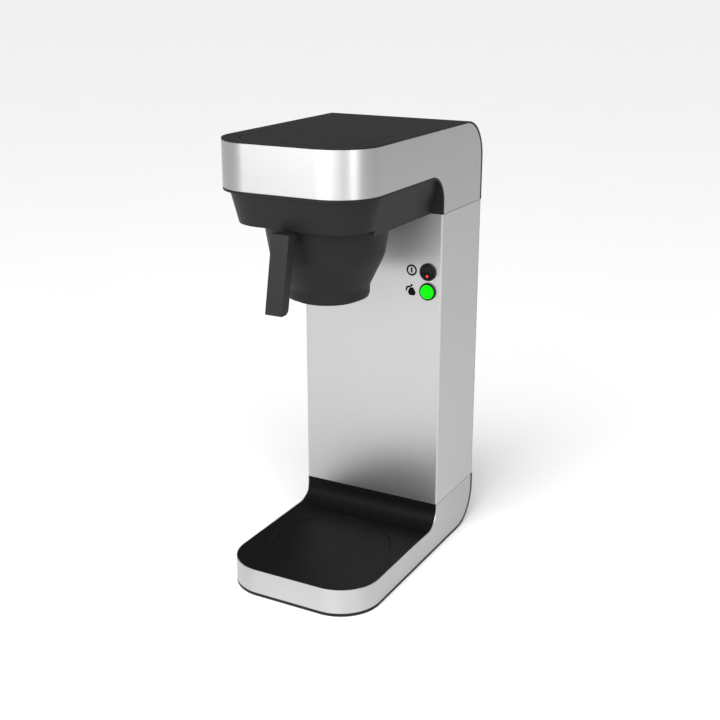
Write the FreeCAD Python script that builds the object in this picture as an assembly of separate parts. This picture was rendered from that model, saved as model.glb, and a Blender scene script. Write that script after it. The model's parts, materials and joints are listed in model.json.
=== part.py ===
"""Commercial coffee brewer: a tall manual-fill machine that brews into a serving jug or airpot.

Water poured through the flap in the top runs from the tank in the head, down to a heater in the column,
up again through a riser tube and out of the spray head into the slide-out brew basket.
Millimetres, +Z up, the front faces -Y. The origin is under the middle of the whole machine, on the floor.
"""

import FreeCAD, Part
import math
import os

V = FreeCAD.Vector

# ---- driving sizes of the whole machine
WIDTH = 208.0
HEIGHT = 590.0
DEPTH = 353.5
CORNER_R = 56.0
COLUMN_DEPTH = 124.4
BASE_SEAM = 70.0
HEAD_SEAM = 480.0
BASKET_TOP = 487.0
BASKET_R = 86.5

# ---- sheet steel and mouldings
STEEL = 1.2
WALL = 3.0
FOLD_R = 2.5
REAR_LIP = 1.5
RUN_GAP = 0.3
PIN_GAP = 0.05

# how far a cut reaches past what it cuts
PAST = 1.0

# ---- head band, top cap and the lip under the head
HEAD_BAND_H = 56.0
CAP_EDGE = 2.0
CAP_REAR_EDGE = 5.1
CAP_R = 52.0
STEEL_TOP_R = 50.0
NOTCH_R = 35.5
LIP = 3.2
REAR_TURN = 12.0

# ---- base band and pan
FOOT_H = 1.0
FOOT_R = 13.0
FOOT_STEM_R = 5.0
PAN_EDGE = 4.0
PAN_FLOOR_T = 3.8
PAN_R = 50.0
BASE_BAND_H = 33.0
PAN_REAR_EDGE = 6.0
STEEL_BOTTOM_R = 46.0
COVE_R = 24.0
RING_R = 81.0
RING_DEPTH = 1.2

# ---- skirt under the head and the basket's rails
SKIRT_TOP_INSET = 3.0
SKIRT_BOTTOM_INSET = 16.6
SKIRT_FRONT_RAKE = 21.0
SKIRT_WALL = 2.4
SKIRT_TOP_R = 64.0
SKIRT_BOTTOM_R = 42.0
SLOT_GAP = 0.7
SLOT_LENGTH = 68.0
RAIL_STEEL = 1.6
RAIL_LIP = 3.9
RAIL_H = 22.0
RAIL_REAR_GAP = 8.0
FLANGE_SIDE_GAP = 0.4
FLANGE_T = 3.0

# ---- basket bowl, from its top down
BOWL_AXIS_FROM_FRONT = 111.0
BOWL_WALL = 2.6
BOWL_TOP_R = 78.6
BOWL_SHOULDER_R = 71.7
BOWL_SHOULDER_DROP = 45.0
BOWL_NECK_R = 53.1
BOWL_NECK_DROP = 83.8
BOWL_FOOT_R = 43.3
BOWL_FOOT_WALL = 2.4
BOWL_FOOT_H = 3.9
BOWL_DROP = 101.5
BOWL_FLOOR_FALL = 3.0
BOWL_BEND_R = 40.0
BOWL_NECK_BEND_R = 15.0
OUTLET_R = 6.0
RIB_COUNT = 8
RIB_W = 1.6
RIB_H = 4.0

# ---- basket handle
HANDLE_W = 24.0
HANDLE_T = 14.6
HANDLE_TOP_REACH = 1.6
HANDLE_REACH = 17.2
HANDLE_H = 94.0
HANDLE_END_R = 8.0
HANDLE_EDGE_R = 1.0
ARM_W = 18.0
ARM_H = 11.0
HANDLE_SCREW_R = 1.6
HANDLE_SCREW_HEAD_R = 3.0
HANDLE_SCREW_HEAD_H = 1.6
HANDLE_SCREW_PITCH = 10.0
HANDLE_SCREW_L = 9.0
HANDLE_SCREW_SEAT = 1.0

# ---- fill flap in the top
FLAP_HALF_W = 79.5
FLAP_REAR_FROM_FRONT = 135.6
FLAP_FRONT_INSET = 12.0
FLAP_REAR_R = 11.0
FLAP_T = 2.6
FLAP_GAP = 0.9
FLAP_LEDGE = 4.0
FLAP_LEDGE_T = 2.0
FLAP_PIN_R = 1.5
FLAP_PIN_DROP = 4.6
FLAP_TAIL = 14.0
FLAP_LUG_R = 3.2
FLAP_LUG_W = 8.0
FLAP_PIN_OUT = 5.0
FLAP_PIN_CAP = 1.0
FLAP_BOSS_R = 3.4

# ---- tank
TANK_WALL = 2.0
TANK_SIDE_GAP = 8.0
TANK_RIM_DROP = 13.0
TANK_CORNER_R = 46.0
TANK_BACK_GAP = 4.0
TANK_BACK_R = 8.0
TANK_LIFT = 0.5
STRAINER_W = 30.0
STRAINER_H = 12.0
STRAINER_T = 1.5
STRAINER_HOLE_R = 1.2
STRAINER_PITCH = 4.0
BARB_R = 4.0
BARB_BORE_R = 2.6
BARB_L = 7.0

# ---- column
COLUMN_VENT_ROWS = 6
COLUMN_VENT_PITCH = 10.0
COLUMN_VENT_W = 4.5
COLUMN_VENT_HALF = 45.0
VENT_TOP_DROP = 30.0
SEAM_GAP = 0.35
RETURN_W = 16.0
PANEL_EDGE = 0.3

# ---- controls
CONTROL_X = 84.7
SWITCH_DROP = 78.2
CONTROLS_APART = 1.6
BEZEL_FLANGE = 1.8
BEZEL_T = 3.2
BEZEL_CHAMFER = 0.6
BARREL_R = 9.9
BARREL_L = 24.0
PANEL_HOLE_GAP = 0.1
ROCKER_BALL_R = 8.4
ROCKER_GAP = 0.3
ROCKER_ANGLE = 8.0
ROCKER_PIVOT_OUT = 1.5
ROCKER_VALLEY = 1.0
ROCKER_BACK = 4.0
ROCKER_ROOM = 3.0
TRUNNION_R = 1.0
TRUNNION_OUT = 1.4
NEON_R = 1.6
NEON_DROP = 5.4
NEON_PROUD = 0.3
NEON_L = 3.0
LENS_R = 9.15
LENS_GAP = 0.3
LENS_T = 2.2
LENS_CROWN_R = 30.0
PLUNGER_R = 7.2
PLUNGER_L = 9.0
PLUNGER_ROOM = 5.0
BUTTON_TRAVEL = 2.5
NUT_WALL = 2.5
NUT_T = 3.0
BLADE_W = 4.8
BLADE_T = 0.8
BLADE_L = 8.0
BLADE_X = 5.0

# ---- spray head and plumbing
SPRAY_R = 40.0
SPRAY_H = 13.0
SPRAY_ABOVE_BASKET = 11.0
SPRAY_NECK_R = 9.0
SPRAY_HOLE_R = 1.3
SPRAY_RINGS = 3
SPRAY_RING_PITCH = 11.0
SPRAY_PER_RING = 6
PIPE_R = 5.0
PIPE_WALL = 1.0
PIPE_BEND = 18.0
PIPE_BELOW_LIP = 10.5
HOSE_R = 6.0
HOSE_BEND = 14.0
HOSE_X = -60.0
HOSE_PANEL_GAP = 10.0
HEATER_R = 32.0
HEATER_H = 190.0
HEATER_BOTTOM = 96.0
HEATER_FROM_BACK = 50.0
HEATER_PORT_UP = 14.0
HEATER_PORT_L = 8.0
VALVE_R = 10.0
VALVE_H = 36.0
VALVE_Z = 210.0
CUTOUT_R = 8.0
CUTOUT_H = 6.0
CUTOUT_X = 18.0

# ---- inner frame and electrical parts
POST_W = 14.0
POST_D = 24.0
POST_STEEL = 1.5
POST_SIDE_GAP = 1.0
POST_FROM_BACK = 62.0
FRAME_EDGE = 4.0
BOARD_W = 46.0
BOARD_H = 110.0
BOARD_T = 1.6
BOARD_X = 58.0
BOARD_LIFT = 5.0
BOARD_FROM_BACK = 24.0
CAPACITOR_R = 5.0
CAPACITOR_L = 16.0
CAPACITOR_X = 11.0
CAPACITOR_UP = 28.0
# relay, transformer and terminals: (across, up) from the board's middle, (width, height, depth)
BOARD_PARTS = [
    ((-8.5, 28.0), (15.0, 28.0, 15.0)),
    ((0.0, -11.0), (28.0, 30.0, 17.0)),
    ((0.0, -40.0), (36.0, 12.0, 10.0)),
]
STANDOFF_R = 3.0
STANDOFF_H = 8.0
INLET_X = -55.0
INLET_Z = 104.0
INLET_W = 27.0
INLET_H = 20.0
INLET_FLANGE = 3.5
INLET_FLANGE_T = 1.2
INLET_DEEP = 22.0
INLET_WALL = 2.0
INLET_CORNER = 4.0
PLUG_PIN_W = 2.0
PLUG_PIN_H = 4.0
PLUG_PIN_PITCH = 7.0
PLUG_PIN_L = 12.0
TERMINAL_W = 42.0
TERMINAL_H = 16.0
TERMINAL_D = 18.0
TERMINAL_Z = 150.0

# ---- small fasteners
SCREW_R = 1.75
SCREW_HEAD_R = 3.4
SCREW_HEAD_H = 1.1
SCREW_L = 7.0
SCREW_DOME_R = 0.65
BASE_SCREW_FROM_FRONT = 89.6

# ---- places worked out from the sizes above
HALF = WIDTH / 2
BACK = (DEPTH + HANDLE_REACH) / 2
FRONT = BACK - DEPTH
COLUMN_BACK = BACK - REAR_LIP
COLUMN_FRONT = COLUMN_BACK - COLUMN_DEPTH
BAND_TOP = HEIGHT - CAP_EDGE
BAND_BOTTOM = BAND_TOP - HEAD_BAND_H
HEAD_CHEEK = COLUMN_FRONT + LIP
LIP_BOTTOM = BAND_BOTTOM - LIP
BASE_STEEL_Z = FOOT_H + PAN_EDGE
BASE_TOP_Z = BASE_STEEL_Z + BASE_BAND_H
BOWL_Y = FRONT + BOWL_AXIS_FROM_FRONT
FLANGE_Z = BASKET_TOP - FLANGE_T
BOWL_BOTTOM = BASKET_TOP - BOWL_DROP
SWITCH_Z = HEAD_SEAM - SWITCH_DROP
BEZEL_R = BARREL_R + BEZEL_FLANGE
NUT_R = BARREL_R + NUT_WALL
BUTTON_Z = SWITCH_Z - 2 * NUT_R - CONTROLS_APART
FLAP_REAR = FRONT + FLAP_REAR_FROM_FRONT
FLAP_PIN_Y = FLAP_REAR - FLAP_TAIL
FLAP_PIN_Z = HEIGHT - FLAP_PIN_DROP
TANK_Z = BAND_BOTTOM + TANK_LIFT
TANK_RIM = HEIGHT - TANK_RIM_DROP
TANK_BACK = COLUMN_FRONT - TANK_BACK_GAP
HEATER_Y = COLUMN_BACK - HEATER_FROM_BACK
SPRAY_Z = BASKET_TOP + SPRAY_ABOVE_BASKET
PIPE_Z = LIP_BOTTOM - PIPE_BELOW_LIP
HOSE_Y = COLUMN_FRONT + STEEL + HOSE_R + HOSE_PANEL_GAP
HOSE_TOP = TANK_Z + TANK_WALL + HOSE_R
POST_Y = COLUMN_BACK - POST_FROM_BACK
POST_X = HALF - STEEL - WALL - POST_SIDE_GAP - POST_W / 2
HEATER_MIDDLE = HEATER_BOTTOM + HEATER_H / 2
BOARD_Z = HEATER_MIDDLE + POST_W / 2 + BOARD_LIFT + WALL + BOARD_H / 2
WRAP_BACK = COLUMN_BACK - STEEL
RAIL_OUT = HALF - SKIRT_BOTTOM_INSET - SKIRT_WALL
FLANGE_HALF = RAIL_OUT - RAIL_STEEL - FLANGE_SIDE_GAP
PAN_FLOOR = FOOT_H + PAN_FLOOR_T
LENS_BACK = COLUMN_FRONT - BUTTON_TRAVEL - RUN_GAP
PIVOT_Y = COLUMN_FRONT - ROCKER_PIVOT_OUT


# ---- shapes that many pieces share
def corner_wire(corners, place):
    """A closed wire through (u, v, radius) corners, each rounded to its radius."""
    ends = []
    for i, (u, v, radius) in enumerate(corners):
        here = V(u, v, 0)
        before = V(corners[i - 1][0], corners[i - 1][1], 0)
        after = V(corners[(i + 1) % len(corners)][0], corners[(i + 1) % len(corners)][1], 0)
        back = (before - here).normalize()
        on = (after - here).normalize()
        if radius == 0:
            ends.append((here, None, here))
            continue
        half = back.getAngle(on) / 2
        reach = radius / math.tan(half)
        middle = here + (back + on).normalize() * (radius / math.sin(half) - radius)
        ends.append((here + back * reach, middle, here + on * reach))
    edges = []
    for i, (start, middle, end) in enumerate(ends):
        if middle is not None:
            edges.append(Part.Arc(place(start), place(middle), place(end)).toShape())
        following = ends[(i + 1) % len(ends)][0]
        if (following - end).Length > 1e-6:
            edges.append(Part.LineSegment(place(end), place(following)).toShape())
    return Part.Wire(edges)


def plan_wire(corners, level):
    return corner_wire(corners, lambda p: V(p.x, p.y, level))


def plan_prism(corners, low, high):
    """A prism that stands on the plan outline between two levels."""
    return Part.Face(plan_wire(corners, low)).extrude(V(0, 0, high - low))


def side_prism(corners, near=-HALF - PAST, far=HALF + PAST):
    """A prism across the machine with the (y, z) outline."""
    face = Part.Face(corner_wire(corners, lambda p: V(near, p.x, p.y)))
    return face.extrude(V(far - near, 0, 0))


def front_prism(corners, near, far):
    """A prism from front to back with the (x, z) outline."""
    face = Part.Face(corner_wire(corners, lambda p: V(p.x, near, p.y)))
    return face.extrude(V(0, far - near, 0))


def rectangle(u0, u1, v0, v1, radius=0):
    return [(u0, v0, radius), (u1, v0, radius), (u1, v1, radius), (u0, v1, radius)]


def block(x0, x1, y0, y1, z0, z1):
    return Part.makeBox(x1 - x0, y1 - y0, z1 - z0, V(x0, y0, z0))


def rod(radius, start, end):
    """A cylinder between two points."""
    way = V(*end) - V(*start)
    return Part.makeCylinder(radius, way.Length, V(*start), way)


def fused(shapes):
    return shapes[0].multiFuse(shapes[1:]).removeSplitter()


def group(shapes):
    return Part.makeCompound(shapes)


def both_sides(shape):
    """The shape and its mirror image across the middle plane."""
    return [shape, shape.mirror(V(0, 0, 0), V(1, 0, 0))]


def u_corners(inset, back, radius=CORNER_R):
    """The plan outline of head and base: flat front, rounded front corners, straight sides."""
    return [
        (-HALF + inset, back, 0),
        (-HALF + inset, FRONT + inset, radius - inset),
        (HALF - inset, FRONT + inset, radius - inset),
        (HALF - inset, back, 0),
    ]


def u_prism(inset, back=BACK + PAST):
    return plan_prism(u_corners(inset, back), 0, HEIGHT)


def steel_band(profile):
    """A folded steel band with the side profile, open at the back."""
    strip = u_prism(0).cut(u_prism(STEEL, BACK + 2 * PAST))
    return strip.common(side_prism(profile))


def tube_path(points, radius):
    """A path of straight runs joined by tangent arcs of one radius."""
    spots = [V(*p) for p in points]
    edges = []
    start = spots[0]
    for i in range(1, len(spots) - 1):
        back = (spots[i - 1] - spots[i]).normalize()
        on = (spots[i + 1] - spots[i]).normalize()
        half = back.getAngle(on) / 2
        reach = radius / math.tan(half)
        middle = spots[i] + (back + on).normalize() * (radius / math.sin(half) - radius)
        enter = spots[i] + back * reach
        leave = spots[i] + on * reach
        edges.append(Part.LineSegment(start, enter).toShape())
        edges.append(Part.Arc(enter, middle, leave).toShape())
        start = leave
    edges.append(Part.LineSegment(start, spots[-1]).toShape())
    return Part.Wire(edges)


def swept(points, bend, radius):
    path = tube_path(points, bend)
    way = V(*points[1]) - V(*points[0])
    ring = Part.Wire(Part.Circle(V(*points[0]), way, radius).toShape())
    return path.makePipeShell([ring], True, True)


def tube(points, bend, radius, wall):
    """A round tube that follows the points with one bend radius."""
    return swept(points, bend, radius).cut(swept(points, bend, radius - wall))


def pan_head_screw(place, way, radius=SCREW_R, head_r=SCREW_HEAD_R, head_h=SCREW_HEAD_H, length=SCREW_L):
    """A screw whose head's underside is at place; the shank points along way."""
    here = V(*place)
    along = V(*way).normalize()
    crown = here - along * head_h
    head = Part.makeCylinder(head_r, head_h, crown, along)
    rim = [e for e in head.Edges if e.Closed and (e.CenterOfMass - crown).Length < head_h / 2]
    head = head.makeFillet(SCREW_DOME_R, rim)
    return head.fuse(Part.makeCylinder(radius, length, here, along)).removeSplitter()


# ---- head
def head_band_profile():
    rear = BACK - CAP_REAR_EDGE
    return [
        (FRONT - PAST, BAND_BOTTOM, 0),
        (HEAD_CHEEK, BAND_BOTTOM, NOTCH_R),
        (HEAD_CHEEK, HEAD_SEAM, 0),
        (rear, HEAD_SEAM, 0),
        (rear, BAND_TOP, STEEL_TOP_R),
        (FRONT - PAST, BAND_TOP, 0),
    ]


def head_band():
    return steel_band(head_band_profile())


def flap_corners(grow):
    """The plan outline of the fill flap, grown all round."""
    front = FRONT + FLAP_FRONT_INSET - grow
    front_r = CORNER_R - FLAP_FRONT_INSET + grow
    return [
        (-FLAP_HALF_W - grow, FLAP_REAR + grow, FLAP_REAR_R + grow),
        (-FLAP_HALF_W - grow, front, front_r),
        (FLAP_HALF_W + grow, front, front_r),
        (FLAP_HALF_W + grow, FLAP_REAR + grow, FLAP_REAR_R + grow),
    ]


def top_cap():
    """The black moulded top that wraps over the rear corner, with the flap's opening and ledge."""
    under = HEIGHT - WALL
    rim = HEIGHT - REAR_TURN
    outside = side_prism([
        (FRONT - PAST, rim, 0),
        (FRONT - PAST, HEIGHT, 0),
        (BACK, HEIGHT, CAP_R),
        (BACK, HEAD_SEAM, 0),
        (BACK - REAR_TURN, HEAD_SEAM, 0),
        (BACK - REAR_TURN, rim, CAP_R - REAR_TURN),
    ]).common(u_prism(0))
    hollow = side_prism([
        (FRONT - 2 * PAST, rim - REAR_TURN, 0),
        (FRONT - 2 * PAST, under, 0),
        (BACK - WALL, under, CAP_R - WALL),
        (BACK - WALL, HEAD_SEAM - PAST, 0),
        (BACK - 2 * REAR_TURN, HEAD_SEAM - PAST, 0),
        (BACK - 2 * REAR_TURN, rim - REAR_TURN, 0),
    ]).common(u_prism(STEEL + WALL))
    cap = outside.cut(hollow).cut(head_band())
    cap = cap.cut(plan_prism(flap_corners(FLAP_GAP), under - PAST, HEIGHT + PAST))
    ledge = plan_prism(flap_corners(FLAP_GAP + FLAP_LEDGE_T), under - FLAP_LEDGE_T, under)
    ledge = ledge.cut(plan_prism(flap_corners(-FLAP_LEDGE), 0, HEIGHT))
    ledge = ledge.common(block(-HALF, HALF, FRONT, FLAP_PIN_Y - FLAP_BOSS_R - 2 * FLAP_GAP, 0, HEIGHT))
    inner = FLAP_HALF_W + FLAP_GAP
    outer = inner + FLAP_PIN_OUT + FLAP_PIN_CAP
    boss = rod(FLAP_BOSS_R, (inner, FLAP_PIN_Y, FLAP_PIN_Z), (outer, FLAP_PIN_Y, FLAP_PIN_Z))
    neck = block(inner, outer, FLAP_PIN_Y - FLAP_BOSS_R, FLAP_PIN_Y + FLAP_BOSS_R, FLAP_PIN_Z, under)
    cap = fused([cap, ledge] + both_sides(boss.fuse(neck)))
    reach = FLAP_HALF_W + FLAP_PIN_OUT + FLAP_GAP
    bore = rod(FLAP_PIN_R + PIN_GAP, (-reach, FLAP_PIN_Y, FLAP_PIN_Z), (reach, FLAP_PIN_Y, FLAP_PIN_Z))
    return cap.cut(bore)


def fill_flap():
    """The tip-up flap: its short tail behind the pins swings down as the front lifts."""
    plate = plan_prism(flap_corners(0), HEIGHT - FLAP_T, HEIGHT)
    inner = FLAP_HALF_W - FLAP_LUG_W
    lug = rod(FLAP_LUG_R, (inner, FLAP_PIN_Y, FLAP_PIN_Z), (FLAP_HALF_W, FLAP_PIN_Y, FLAP_PIN_Z))
    web = block(
        inner, FLAP_HALF_W, FLAP_PIN_Y - FLAP_LUG_R, FLAP_PIN_Y + FLAP_LUG_R, FLAP_PIN_Z, HEIGHT - FLAP_T)
    flap = fused([plate] + both_sides(lug.fuse(web)))
    return flap.cut(flap_pins())


def flap_pins():
    near = FLAP_HALF_W - FLAP_LUG_W + FLAP_PIN_CAP
    far = FLAP_HALF_W + FLAP_PIN_OUT
    pin = rod(FLAP_PIN_R, (near, FLAP_PIN_Y, FLAP_PIN_Z), (far, FLAP_PIN_Y, FLAP_PIN_Z))
    return group(both_sides(pin))


def skirt_corners(inset, back, radius):
    return [
        (-HALF + inset[0], back, 0),
        (-HALF + inset[0], FRONT + inset[1], radius),
        (HALF - inset[0], FRONT + inset[1], radius),
        (HALF - inset[0], back, 0),
    ]


def skirt_shape(shrink, back):
    """The tapered body under the head, shrunk all round by a wall."""
    low = skirt_corners(
        (SKIRT_BOTTOM_INSET + shrink, SKIRT_FRONT_RAKE + shrink), back, SKIRT_BOTTOM_R - shrink)
    high = skirt_corners(
        (SKIRT_TOP_INSET + shrink, SKIRT_TOP_INSET + shrink), back, SKIRT_TOP_R - shrink)
    return Part.makeLoft([plan_wire(low, HEAD_SEAM), plan_wire(high, LIP_BOTTOM)], True, True)


def head_skirt():
    """The black underside of the head: lip, curved liner down to the column, and tapered skirt."""
    lip = side_prism([
        (FRONT - PAST, BAND_BOTTOM, 0),
        (HEAD_CHEEK, BAND_BOTTOM, NOTCH_R),
        (HEAD_CHEEK, HEAD_SEAM, 0),
        (COLUMN_FRONT, HEAD_SEAM, 0),
        (COLUMN_FRONT, LIP_BOTTOM, NOTCH_R - LIP),
        (FRONT - PAST, LIP_BOTTOM, 0),
    ]).common(u_prism(0))
    walls = skirt_shape(0, COLUMN_FRONT + LIP / 2).cut(skirt_shape(SKIRT_WALL, COLUMN_FRONT + LIP))
    walls = walls.cut(block(-HALF, HALF, FRONT, FRONT + SLOT_LENGTH, HEAD_SEAM - PAST, BASKET_TOP + SLOT_GAP))
    skirt = fused([lip, walls])
    return skirt.cut(rod(PIPE_R + RUN_GAP, (0, BOWL_Y, PIPE_Z), (0, HEAD_CHEEK + PAST, PIPE_Z)))


def basket_rails():
    top = FLANGE_Z - RUN_GAP
    web_in = RAIL_OUT - RAIL_STEEL
    lip_in = web_in - RAIL_LIP
    section = [
        (lip_in, top - RAIL_STEEL, 0),
        (RAIL_OUT, top - RAIL_STEEL, 0),
        (RAIL_OUT, top + RAIL_H, 0),
        (web_in, top + RAIL_H, 0),
        (web_in, top, 0),
        (lip_in, top, 0),
    ]
    return group(both_sides(front_prism(section, FRONT + SLOT_LENGTH + PAST, COLUMN_FRONT - RAIL_REAR_GAP)))


def spray_head():
    """A hollow disc with rings of holes, hung from a neck that the riser tube enters."""
    top = SPRAY_Z + SPRAY_H
    disc = Part.makeCylinder(SPRAY_R, SPRAY_H, V(0, BOWL_Y, SPRAY_Z))
    disc = disc.fuse(Part.makeCylinder(SPRAY_NECK_R, LIP_BOTTOM - top, V(0, BOWL_Y, top))).removeSplitter()
    inside = SPRAY_H - 2 * STEEL
    disc = disc.cut(Part.makeCylinder(SPRAY_R - STEEL, inside, V(0, BOWL_Y, SPRAY_Z + STEEL)))
    way_in = Part.makeCylinder(PIPE_R - PIPE_WALL, PIPE_Z - SPRAY_Z - STEEL, V(0, BOWL_Y, SPRAY_Z + STEEL))
    disc = disc.cut(way_in)
    disc = disc.cut(rod(PIPE_R, (0, BOWL_Y, PIPE_Z), (0, BOWL_Y + SPRAY_NECK_R + PAST, PIPE_Z)))
    holes = []
    for ring in range(1, SPRAY_RINGS + 1):
        for step in range(SPRAY_PER_RING * ring):
            angle = 2 * math.pi * step / (SPRAY_PER_RING * ring)
            x = SPRAY_RING_PITCH * ring * math.cos(angle)
            y = BOWL_Y + SPRAY_RING_PITCH * ring * math.sin(angle)
            holes.append(Part.makeCylinder(SPRAY_HOLE_R, 2 * STEEL, V(x, y, SPRAY_Z - STEEL / 2)))
    return disc.cut(group(holes))


# ---- tank and plumbing
def tank_corners(inset):
    half = HALF - TANK_SIDE_GAP - inset
    front = FRONT + TANK_SIDE_GAP + inset
    return [
        (-half, TANK_BACK - inset, TANK_BACK_R - inset),
        (-half, front, TANK_CORNER_R - inset),
        (half, front, TANK_CORNER_R - inset),
        (half, TANK_BACK - inset, TANK_BACK_R - inset),
    ]


def water_tank():
    tank = plan_prism(tank_corners(0), TANK_Z, TANK_RIM)
    tank = tank.cut(plan_prism(tank_corners(TANK_WALL), TANK_Z + TANK_WALL, TANK_RIM + PAST))
    barb = rod(BARB_R, (HOSE_X, TANK_BACK, HOSE_TOP), (HOSE_X, TANK_BACK + BARB_L, HOSE_TOP))
    start = (HOSE_X, TANK_BACK - 2 * TANK_WALL, HOSE_TOP)
    bore = rod(BARB_BORE_R, start, (HOSE_X, TANK_BACK + BARB_L + PAST, HOSE_TOP))
    return tank.fuse(barb).cut(bore)


def tank_strainer():
    """A small perforated plate over the tank's outlet."""
    face = TANK_BACK - TANK_WALL
    low = TANK_Z + TANK_WALL
    left = HOSE_X - STRAINER_W / 2
    plate = block(left, left + STRAINER_W, face - STRAINER_T, face, low, low + STRAINER_H)
    holes = []
    columns = int(STRAINER_W / STRAINER_PITCH) - 1
    rows = int(STRAINER_H / STRAINER_PITCH)
    for i in range(columns):
        for j in range(rows):
            x = HOSE_X + (i - (columns - 1) / 2) * STRAINER_PITCH
            z = low + STRAINER_H / 2 + (j - (rows - 1) / 2) * STRAINER_PITCH
            holes.append(rod(STRAINER_HOLE_R, (x, face - STRAINER_T - PAST, z), (x, face + PAST, z)))
    return plate.cut(group(holes))


def tank_hose():
    return tube([
        (HOSE_X, TANK_BACK, HOSE_TOP),
        (HOSE_X, HOSE_Y, HOSE_TOP),
        (HOSE_X, HOSE_Y, VALVE_Z + VALVE_H / 2),
    ], HOSE_BEND, HOSE_R, HOSE_R - BARB_R)


def check_valve():
    half = VALVE_H / 2
    body = Part.makeCylinder(VALVE_R, VALVE_H, V(HOSE_X, HOSE_Y, VALVE_Z - half))
    barbs = Part.makeCylinder(BARB_R, VALVE_H + 2 * BARB_L, V(HOSE_X, HOSE_Y, VALVE_Z - half - BARB_L))
    low = VALVE_Z - half - BARB_L - PAST
    bore = Part.makeCylinder(BARB_BORE_R, VALVE_H + 2 * (BARB_L + PAST), V(HOSE_X, HOSE_Y, low))
    return body.fuse(barbs).removeSplitter().cut(bore)


def heater_hose():
    port_z = HEATER_BOTTOM + HEATER_PORT_UP
    return tube([
        (HOSE_X, HOSE_Y, VALVE_Z - VALVE_H / 2),
        (HOSE_X, HOSE_Y, port_z),
        (HOSE_X, HEATER_Y, port_z),
        (-HEATER_R, HEATER_Y, port_z),
    ], HOSE_BEND, HOSE_R, HOSE_R - BARB_R)


def heater():
    """The flow-through heater: a cast body with a cold port at its foot and a hot port on top."""
    top = HEATER_BOTTOM + HEATER_H
    port_z = HEATER_BOTTOM + HEATER_PORT_UP
    body = Part.makeCylinder(HEATER_R, HEATER_H, V(0, HEATER_Y, HEATER_BOTTOM))
    port = rod(BARB_R, (0, HEATER_Y, port_z), (-HEATER_R - HEATER_PORT_L, HEATER_Y, port_z))
    blades = []
    for side in (-1, 1):
        x = side * CUTOUT_X
        low = HEATER_BOTTOM - BLADE_L
        blades.append(block(
            x - BLADE_W / 2, x + BLADE_W / 2, HEATER_Y, HEATER_Y + BLADE_T, low, HEATER_BOTTOM + PAST))
    body = fused([body, port] + blades)
    drill = rod(BARB_BORE_R, (0, HEATER_Y, port_z), (-HEATER_R - HEATER_PORT_L - PAST, HEATER_Y, port_z))
    rise = Part.makeCylinder(PIPE_R, BARB_L, V(0, HEATER_Y, top - BARB_L))
    well = Part.makeCylinder(BARB_BORE_R, top - port_z, V(0, HEATER_Y, port_z))
    return body.cut(drill).cut(well).cut(rise)


def riser_tube():
    return tube([
        (0, HEATER_Y, HEATER_BOTTOM + HEATER_H - BARB_L),
        (0, HEATER_Y, PIPE_Z),
        (0, BOWL_Y + PIPE_R, PIPE_Z),
    ], PIPE_BEND, PIPE_R, PIPE_WALL)


def thermal_cutouts():
    top = HEATER_BOTTOM + HEATER_H
    discs = []
    for side in (-1, 1):
        disc = Part.makeCylinder(CUTOUT_R, CUTOUT_H, V(side * CUTOUT_X, HEATER_Y, top))
        cap = Part.makeCylinder(CUTOUT_R / 2, CUTOUT_H / 2, V(side * CUTOUT_X, HEATER_Y, top + CUTOUT_H))
        discs.append(disc.fuse(cap).removeSplitter())
    return group(discs)


# ---- column
def column_wrap():
    """The folded stainless cover: front, both sides and narrow returns at the back."""
    low = BASE_SEAM + SEAM_GAP
    high = HEAD_SEAM - SEAM_GAP
    outside = plan_prism(rectangle(-HALF, HALF, COLUMN_FRONT, WRAP_BACK, FOLD_R), low, high)
    inner = rectangle(-HALF + STEEL, HALF - STEEL, COLUMN_FRONT + STEEL, WRAP_BACK - STEEL, FOLD_R - STEEL)
    wrap = outside.cut(plan_prism(inner, low - PAST, high + PAST))
    inside = HALF - RETURN_W
    wrap = wrap.cut(block(-inside, inside, WRAP_BACK - 2 * STEEL, WRAP_BACK + PAST, low - PAST, high + PAST))
    for z in (SWITCH_Z, BUTTON_Z):
        hole = BARREL_R + PANEL_HOLE_GAP
        front = (CONTROL_X, COLUMN_FRONT - PAST, z)
        wrap = wrap.cut(rod(hole, front, (CONTROL_X, COLUMN_FRONT + 2 * STEEL, z)))
    near = WRAP_BACK - 2 * STEEL
    shanks = [rod(SCREW_R, (x, WRAP_BACK + PAST, z), (x, near, z)) for x, z in back_screw_spots()]
    return wrap.cut(group(shanks))


def back_screw_spots():
    x = HALF - RETURN_W / 2
    low = BASE_SEAM + RETURN_W
    high = HEAD_SEAM - RETURN_W
    return [(side * x, z) for side in (-1, 1) for z in (low, (low + high) / 2, high)]


def column_back():
    """The removable back panel with its vent slots and the opening for the power inlet."""
    half = HALF - PANEL_EDGE
    outline = rectangle(-half, half, BASE_SEAM + SEAM_GAP, HEAD_SEAM - SEAM_GAP)
    panel = front_prism(outline, WRAP_BACK, COLUMN_BACK)
    cuts = []
    for row in range(COLUMN_VENT_ROWS):
        z = HEAD_SEAM - VENT_TOP_DROP - row * COLUMN_VENT_PITCH
        end = COLUMN_VENT_W / 2
        slot = rectangle(-COLUMN_VENT_HALF, COLUMN_VENT_HALF, z - end, z + end, end)
        cuts.append(front_prism(slot, WRAP_BACK - PAST, COLUMN_BACK + PAST))
    cuts.append(front_prism(inlet_outline(0), WRAP_BACK - PAST, COLUMN_BACK + PAST))
    near = WRAP_BACK - PAST
    far = COLUMN_BACK + PAST
    cuts += [rod(SCREW_R, (x, far, z), (x, near, z)) for x, z in back_screw_spots()]
    return panel.cut(group(cuts))


def back_screws():
    return group([pan_head_screw((x, COLUMN_BACK, z), (0, -1, 0)) for x, z in back_screw_spots()])


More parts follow.
